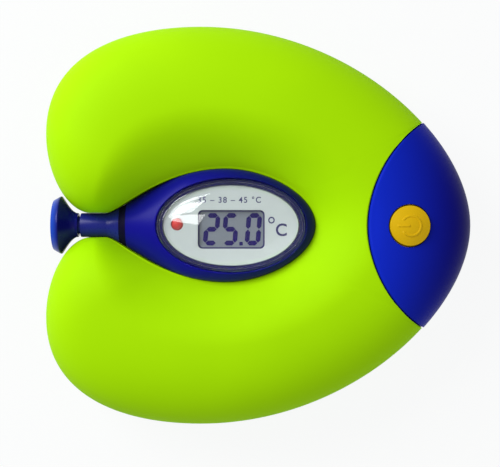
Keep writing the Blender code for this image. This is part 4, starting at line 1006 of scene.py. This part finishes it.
figures = bmesh.new()
for symbol, left in (("2", -14.1 * MM), ("5", -9.45 * MM), ("0", -3.72 * MM)):
    for letter in BARS[symbol]:
        add_bar(figures, *bar_ends(letter), (left, FIGURES_LOW))
figures.faces.new([
    figures.verts.new((POINT_X + x, FIGURES_LOW + y, FILM_LOW))
    for x, y in ((0, 0), (POINT, 0), (POINT, POINT), (0, POINT))
])
figures = piece("display_figures", raise_faces(figures, FILM_THICK), figure_ink, sharp=30)

# %% [markdown]
# ## Printing on the plate
#
# A degree ring, a letter C and a line of plain numbers are printed in the same dark ink. The ring
# is two circles joined by a row of faces. The letters come from Blender's own font: the text is
# turned into a mesh first and only then put in its place, so that the piece's object stays at the
# origin.

# %% Printed marks
PRINT_LOW = MID_Z + FACE_TOP_UP + 0.005 * MM
PRINT_THICK = 0.02 * MM


def printed_text(name, words, centre, height, spacing=1.0, weight=0.0):
    """Printed letters of a given height, centred on a place on the plate."""
    curve = bpy.data.curves.new(name, "FONT")
    curve.body = words
    curve.size = 1.0
    curve.space_character = spacing
    curve.offset = weight
    scratch = bpy.data.objects.new(name + "_curve", curve)
    bpy.context.scene.collection.objects.link(scratch)
    bpy.context.view_layer.update()
    graph = bpy.context.evaluated_depsgraph_get()
    flat = bpy.data.meshes.new_from_object(scratch.evaluated_get(graph))
    bpy.data.objects.remove(scratch, do_unlink=True)
    bpy.data.curves.remove(curve)
    bm = bmesh.new()
    bm.from_mesh(flat)
    bpy.data.meshes.remove(flat)
    spots = np.array([vert.co[:2] for vert in bm.verts])
    low, high = spots.min(axis=0), spots.max(axis=0)
    middle = (low + high) / 2
    scale = height / (high[1] - low[1])
    bmesh.ops.translate(bm, verts=bm.verts, vec=(-middle[0], -middle[1], 0))
    bmesh.ops.scale(bm, verts=bm.verts, vec=(scale, scale, 1.0))
    bmesh.ops.translate(bm, verts=bm.verts, vec=(*centre, PRINT_LOW))
    bmesh.ops.remove_doubles(bm, verts=bm.verts, dist=MERGE)
    made = piece(name, raise_faces(bm, PRINT_THICK), print_and_painted_edge_shade, sharp=30)
    return made


printed_text("unit_letter", "C", (5.4 * MM, -1.05 * MM), 3.05 * MM, weight=0.018)
scale_words = printed_text(
    "number_scale", "35 – 38 – 45 °C", (-7.45 * MM, 6.15 * MM), 1.5 * MM, 1.22, 0.014
)
print(f"number scale {scale_words.dimensions.x / MM:.1f} mm long")

RING_INNER, RING_OUTER = 0.5 * MM, 0.82 * MM
ring_bm = stack([
    (radius, radius, PRINT_LOW - MID_Z) for radius in (RING_INNER, RING_OUTER)
], 2.97 * MM, sides=40)
bmesh.ops.translate(ring_bm, verts=ring_bm.verts, vec=(0, 1.25 * MM, 0))
bmesh.ops.remove_doubles(ring_bm, verts=ring_bm.verts, dist=MERGE)
degree = piece("degree_ring", raise_faces(ring_bm, PRINT_THICK), print_and_painted_edge_shade, sharp=30)

# %% [markdown]
# ## Alarm light
#
# The light is a common 3 mm part: a short barrel of red resin with a round top. Its glow is
# painted: a weak red emission stands in for the light that goes into the clear resin and comes out
# again.

# %% Alarm light
light_red = moulded(
    "alarm_red", (0.55, 0.025, 0.02), (0.48, 0.015, 0.012), 0.18, grain=0.02, gloss=0.5, coat=0.6,
)
# Painted glow: a weak red emission stands in for light that passes through the resin.
feed(light_red.node_tree, light_red.node_tree.nodes["Principled BSDF"], {
    "Emission Color": (1.0, 0.12, 0.08, 1.0), "Emission Strength": 0.12,
})

barrel = mm((0, 16.1), (1.8, 16.1), (1.8, 16.9)) + [(LIGHT_RADIUS, 16.9 * MM)]
dome = [(LIGHT_RADIUS * c, 20.4 * MM + 1.5 * MM * s) for s, c in quarter(16)[:-1]]
light_bm = turned(barrel + dome + [(0, 21.9 * MM)], 64)
bmesh.ops.translate(light_bm, verts=light_bm.verts, vec=(*LIGHT_PLACE, 0))
alarm = piece("alarm_dome", light_bm, light_red, sharp=40)
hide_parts("alarm_light")

# %% [markdown]
# ## Window
#
# The window is one clear moulding: a flange that sits in the recess and a dome over the plate. It
# is hollow below, so light passes two thin walls. A glass shader alone would throw a dark shadow on
# the plate, so shadow rays see a transparent shader. Two fine grooves run round the flange.

# %% Clear plastic
def show(tree, share, first, second):
    """Mixes two shaders for the surface of a material."""
    mix = add_node(tree, "MixShader", {"Fac": share, 1: first, 2: second})
    feed(tree, tree.nodes["Material Output"], {"Surface": mix.outputs["Shader"]})


clear, tree, shader = new_material("clear_window")
wave = add_node(tree, "TexNoise", {
    "Scale": 260.0, "Detail": 1.0, "Vector": add_node(tree, "TexCoord").outputs["Object"],
})
haze = add_node(tree, "MapRange", {"Value": wave.outputs["Fac"], "To Min": 0.0, "To Max": 0.035})
feed(tree, shader, {
    "Base Color": (0.97, 0.985, 1.0, 1.0), "Transmission Weight": 1.0, "IOR": 1.49,
    "Roughness": haze.outputs["Result"],
})
open_shader = add_node(tree, "BsdfTransparent", {"Color": (0.96, 0.97, 0.98, 1.0)})
shadow_ray = add_node(tree, "LightPath").outputs["Is Shadow Ray"]
show(tree, shadow_ray, shader.outputs["BSDF"], open_shader.outputs["BSDF"])
print("clear plastic:", clear.name)

# %% Window moulding
LENS = (18.6 * MM, 11.6 * MM)
SEAT_UP = 8.5 * MM
FLANGE_TOP = 9.6 * MM
RISE = 4.0 * MM
LENS_WALL = 1.4 * MM
HOLLOW_INSET = 1.75 * MM
GROOVE_WIDTH = 0.2
GROOVE_DEPTH = 0.16 * MM
FILLET = 0.06 * MM


def dome_rows(half_length, half_width, foot, rise, steps):
    """Ellipses of a dome from its foot to just beside its pole."""
    return [
        (half_length * max(c, 0.004), half_width * max(c, 0.004), foot + rise * s)
        for s, c in quarter(steps)
    ]


def flange(inset, up):
    """An ellipse at a number of millimetres inside the window's edge."""
    return (LENS[0] - inset * MM, LENS[1] - inset * MM, up)


def groove(at, lean, up):
    """A fine groove round the window, with walls that lean a little."""
    low = up - GROOVE_DEPTH
    return [
        flange(at, up), flange(at + lean, low), flange(at + GROOVE_WIDTH - lean, low),
        flange(at + GROOVE_WIDTH, up),
    ]


foot = (LENS[0] - HOLLOW_INSET, LENS[1] - HOLLOW_INSET)
levels = dome_rows(*foot, FLANGE_TOP, RISE - LENS_WALL, 24)[::-1] + [
    (*foot, SEAT_UP), flange(0.1, SEAT_UP), flange(0.0, SEAT_UP + 0.1 * MM),
    flange(0.0, FLANGE_TOP - 0.12 * MM), flange(0.12, FLANGE_TOP),
]
levels += groove(0.5, 0.04, FLANGE_TOP) + groove(1.08, 0.04, FLANGE_TOP)
levels += [flange(1.44, FLANGE_TOP + 0.5 * FILLET)]
levels += dome_rows(
    LENS[0] - 1.5 * MM, LENS[1] - 1.5 * MM, FLANGE_TOP + FILLET, RISE - FILLET, 28,
)
window = piece("window_dome", close_ends(stack(levels, WINDOW_X, sides=160)), clear, sharp=34)
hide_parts("lens_window")

# %% [markdown]
# The flange is bedded on a dark ring that shows through it. Four fine grooves in its top catch thin
# lines of light round the plate.

# %% Bedding ring
BED_LOW, BED_TOP = 7.6 * MM, 8.2 * MM
ring_levels = [(*SIGHT, BED_LOW), (*LENS, BED_LOW), (*LENS, BED_TOP)]
for k in range(4):
    ring_levels += groove(0.16 + 0.34 * k, 0.05, BED_TOP)
ring_levels += [(*SIGHT, BED_TOP), (*SIGHT, BED_LOW)]
bedding = piece("window_bedding", stack(ring_levels, WINDOW_X, sides=160), ring_blue_and_painted_gap_shade, sharp=34)
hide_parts("lens_gasket")

# %% [markdown]
# ## Button
#
# The button is a shallow yellow dome that stands in a round hole in the nose cover, tilted with the
# cover's slope. It is spun about its own axis and then tilted into place. The usual on/off mark is
# moulded on it: an open ring and a bar that stand almost 0.2 mm proud.

# %% Button
BUTTON_PLACE = Vector((36.9 * MM, 0.0, 28.161 * MM))
BUTTON_TILT = Matrix.Rotation(math.radians(3.5905), 4, "Y")
BUTTON_RADIUS = 4.98 * MM
DOME_EDGE = 0.94 * BUTTON_RADIUS
BUTTON_RISE = 1.35 * MM
BUTTON_SIDE = 0.45 * MM
MARK_PROUD = 0.2 * MM


def set_on_slope(bm):
    """Tilts and moves a piece made round the origin to the button's place."""
    bmesh.ops.transform(bm, verts=bm.verts, matrix=Matrix.Translation(BUTTON_PLACE) @ BUTTON_TILT)
    return bm


def button_height(radius):
    share = min(1.0, radius / DOME_EDGE)
    return BUTTON_SIDE + (BUTTON_RISE - BUTTON_SIDE) * (1 - share * share)


SIDE_FOOT = 0.1 * MM
SHOULDER = 0.06 * BUTTON_RADIUS
profile = mm(
    (0, -4.8), (1.5, -4.8), (1.5, -0.85), (3.68, -0.85), (3.68, -3.2), (5.78, -3.2), (5.78, -2.3),
) + [(BUTTON_RADIUS, -2.3 * MM), (BUTTON_RADIUS, SIDE_FOOT)] + [
    (BUTTON_RADIUS - SHOULDER * (1 - c), SIDE_FOOT + (BUTTON_SIDE - SIDE_FOOT) * s)
    for s, c in quarter(7)[1:]
]
profile += [(r, button_height(r)) for r in (DOME_EDGE * (1 - k / 24) for k in range(1, 25))]
button = piece("button_dome", set_on_slope(turned(profile)), amber, body="button", sharp=40)
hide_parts("on_off_button")

# %% [markdown]
# The button needs its hole in the cover, a little wider than the dome, and below it the pocket that
# the skirt travels in. The gap all round is what draws the fine dark line.

# %% Hole for the button
hole = turned(mm((0, -6.5), (6.3, -6.5), (6.3, -1.9), (5.34, -1.9), (5.34, 4.0), (0, 4.0)))
bmesh.ops.remove_doubles(hole, verts=hole.verts, dist=0.001 * MM)
bmesh.ops.recalc_face_normals(hole, faces=hole.faces)
cut_away(nose_cover, mesh_object("button_hole", set_on_slope(hole)))

# %% On/off mark
MARK_RADIUS = 2.45 * MM
MARK_LINE = 0.62 * MM
MARK_SUNK = 0.02 * MM
MARK_ROWS = [
    (-math.cos(math.pi * k / 8) * MARK_LINE / 2, MARK_PROUD * math.sin(math.pi * k / 8) ** 0.7)
    for k in range(9)
]


def mark_skin(columns, place):
    """A raised line on the dome: place gives the point at a share of its length and a side step."""
    def point(column, row):
        across, up = MARK_ROWS[row]
        x, y = place(column / columns, across)
        rise = up * min(1.0, min(column, columns - column) / 2) - MARK_SUNK
        return Vector((x, y, button_height(math.hypot(x, y)) + rise))

    return close_ends(skin(columns, 8, point))


def open_ring(share, across):
    """The ring, open to the left by about a fifth of a turn."""
    turn = math.radians(-148 + 296 * share)
    return (MARK_RADIUS + across) * math.cos(turn), (MARK_RADIUS + across) * math.sin(turn)


def bar(share, across):
    """The bar, from outside the ring's opening to its middle."""
    return -3.45 * MM + 3.3 * MM * share, across


for mark_name, columns, place in (("mark_ring", 72, open_ring), ("mark_bar", 24, bar)):
    mark_bm = set_on_slope(mark_skin(columns, place))
    mark = piece(mark_name, mark_bm, amber, body="button", sharp=50)

# %% [markdown]
# ## Neck, seal ring and probe knob
#
# These three are turned about the long axis. Each is a profile spun round Z and then laid along X.
# The knob flares from a narrow waist to a thin rim and has a shallow domed end.

# %% Turned parts
def along_case(start, end, steps):
    return [
        (case_half_width(start + (end - start) * k / steps), start + (end - start) * k / steps)
        for k in range(steps + 1)
    ]


neck_profile = [
    *mm((1.15, -48.7), (2.2, -48.7), (2.2, -46.0), (2.87, -46.0), (3.05, -45.93), (3.12, -45.75)),
    *along_case(CASE_NECK_X, -35.87 * MM, 16),
    *mm((2.4, -35.87), (2.4, -31.6), (1.15, -31.6), (1.15, -48.7)),
]
neck = piece("neck", lay_along_x(turned(neck_profile)), neck_blue, sharp=34)
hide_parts("neck_tube")

SEAL = (-35.85 * MM, -34.02 * MM)
SEAL_INNER = 2.7 * MM
SEAL_ROUND = 0.07 * MM
seal_profile = [(SEAL_INNER, SEAL[0])] + [
    (r - SEAL_ROUND * (1 - math.sin(math.pi * k / 14)), x)
    for k, (r, x) in enumerate(along_case(*SEAL, 14))
] + [(SEAL_INNER, SEAL[1]), (SEAL_INNER, SEAL[0])]
neck_seal = piece("neck_seal", lay_along_x(turned(seal_profile)), rubber, sharp=40)
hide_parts("neck_seal_ring")

# %% Probe knob
KNOB_END_X = -53.5 * MM
knob_profile = [
    *((6.5 * MM * k / 14, KNOB_END_X + 0.65 * MM * (k / 14) ** 2.2) for k in range(15)),
    *mm((6.62, -52.7), (7.3, -51.45), (7.43, -51.2), (7.46, -51.0), (7.43, -50.9)),
    *bezier(*mm((7.36, -50.84), (5.86, -49.8), (3.65, -48.6), (3.15, -47.1)), 26).tolist(),
    *mm((3.13, -46.7), (3.05, -46.6), (2.5, -46.6), (2.5, -49.0), (1.2, -49.0), (1.2, -51.8)),
    (0, -51.8 * MM),
]
knob = piece("knob", lay_along_x(turned(knob_profile)), knob_blue, sharp=34)
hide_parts("probe_knob")

# %% [markdown]
# ## What stays as it is
#
# Screws, boards, cells and leads are hidden or nearly so. Their solids stay, with plain metal,
# resin and board finishes.

# %% Metal
def bright_metal(name, colour, roughness, streak):
    """Plated steel with fine scratches along one direction."""
    made, tree, shader = new_material(name)
    stretch = add_node(tree, "Mapping", {
        "Vector": add_node(tree, "TexCoord").outputs["Object"],
        "Scale": (streak, streak * 6, streak),
    })
    scratch = add_node(tree, "TexNoise", {
        "Scale": 1.0, "Detail": 4.0, "Vector": stretch.outputs["Vector"],
    }).outputs["Fac"]
    dull = add_node(tree, "MapRange", {
        "Value": scratch, "To Min": roughness - 0.08, "To Max": roughness + 0.12,
    })
    tint = add_node(tree, "Mix", {
        "A": (*colour, 1.0), "B": (*(0.8 * c for c in colour), 1.0), "Factor": scratch,
    }, data_type="RGBA")
    feed(tree, shader, {
        "Metallic": 1.0, "Roughness": dull.outputs["Result"], "Base Color": tint.outputs["Result"],
    })
    return made


steel = bright_metal("screw_steel", (0.56, 0.56, 0.58), 0.32, 900.0)
nickel = bright_metal("cell_nickel", (0.66, 0.65, 0.62), 0.26, 500.0)
wire_red = moulded("wire_red", (0.42, 0.02, 0.015), (0.36, 0.015, 0.012), 0.5)
finishes = {
    "screw": steel, "cell": nickel, "battery_contact": nickel, "battery_bridge": nickel,
    "board": board_green, "lead": wire_red, "chip": resin, "thermistor": resin, "plunger": resin,
    "tact_switch": resin, "seal": rubber, "strip": rubber,
}
given = 0
for name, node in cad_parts.items():
    for word, finish in finishes.items():
        if word in name:
            node.data.materials.clear()
            node.data.materials.append(finish)
            given += 1
            break
print("nodes finished in place:", given)

# %% [markdown]
# ## Lights, floor and backdrop
#
# The photograph has soft daylight from the upper left and a white ground. One broad lamp gives that
# light, a weaker one opposite keeps the far side readable, a third overhead evens the top, and the
# floor is almost white. Three panes overhead light only the clear window, by light linking: they
# are what its dome mirrors.

# %% Floor
FLOOR_WHITE = 0.9
FLOOR_RADIUS = 12.0

floor_mat, tree, shader = new_material("pale_floor")
feed(tree, shader, {
    "Base Color": (0.86, 0.87, 0.88, 1.0), "Roughness": 0.9, "Specular IOR Level": 0.0,
})
white = add_node(tree, "Emission", {"Color": (0.995, 1.0, 1.0, 1.0)})
sight = add_node(tree, "LightPath").outputs
seen = sight["Is Camera Ray"]
for ray in ("Is Transmission Ray", "Is Glossy Ray"):
    seen = add_node(tree, "Math", {0: seen, 1: sight[ray]}, operation="MAXIMUM").outputs[0]
part_white = add_node(tree, "Math", {0: seen, 1: FLOOR_WHITE}, operation="MULTIPLY").outputs[0]
show(tree, part_white, shader.outputs["BSDF"], white.outputs["Emission"])

floor_bm = bmesh.new()
bmesh.ops.create_circle(floor_bm, cap_ends=True, segments=64, radius=FLOOR_RADIUS)
floor = mesh_object("floor", floor_bm)
floor.data.materials.append(floor_mat)
print(f"floor radius {FLOOR_RADIUS:.0f} m")

# %% Lamps
def lamp(name, place, size, power, aim=(0.0, 0.0, 0.01), length=None, in_gloss=True):
    """A rectangular lamp that faces a point near the object."""
    light = bpy.data.lights.new(name, "AREA")
    light.shape = "RECTANGLE"
    light.size = size
    light.size_y = length or size
    light.energy = power
    made = bpy.data.objects.new(name, light)
    bpy.context.scene.collection.objects.link(made)
    made.location = place
    made.rotation_euler = (Vector(aim) - Vector(place)).to_track_quat("-Z", "Y").to_euler()
    made.visible_camera = False
    made.visible_glossy = in_gloss
    made.visible_transmission = False
    return made


lamp("daylight", (-0.38, 0.28, 0.36), 0.34, 2.7)
lamp("soft_fill", (0.36, -0.30, 0.34), 0.40, 0.2)
lamp("overhead", (0.02, -0.02, 0.75), 0.30, 0.6, in_gloss=False)

mirrors = bpy.data.collections.new("mirrors_the_panes")
mirrors.objects.link(window)
PANE_UP = 0.43
PANE_TURN = math.radians(14.0)
PANE_WIDTH = 0.36
PANE_POWER = 10.0 * math.pi
PANES = ((-0.11, 0.045, 0.145), (-0.15, 0.19, 0.38), (-0.20, 0.52, 0.78))
for row, (right, near, far) in enumerate(PANES):
    middle = Vector((right - PANE_WIDTH / 2, (near + far) / 2, PANE_UP))
    pane = lamp(
        f"pane_{row}", middle, PANE_WIDTH, PANE_POWER * PANE_WIDTH * (far - near),
        (middle.x, middle.y, 0.0), far - near,
    )
    pane.rotation_euler.z -= PANE_TURN
    pane.light_linking.receiver_collection = mirrors

world = bpy.data.worlds.new("soft_room")
bpy.context.scene.world = world
world.use_nodes = True
feed(world.node_tree, world.node_tree.nodes["Background"], {
    "Color": (0.96, 0.98, 1.0, 1.0), "Strength": 0.32,
})
print("lamps:", len(bpy.data.lights))
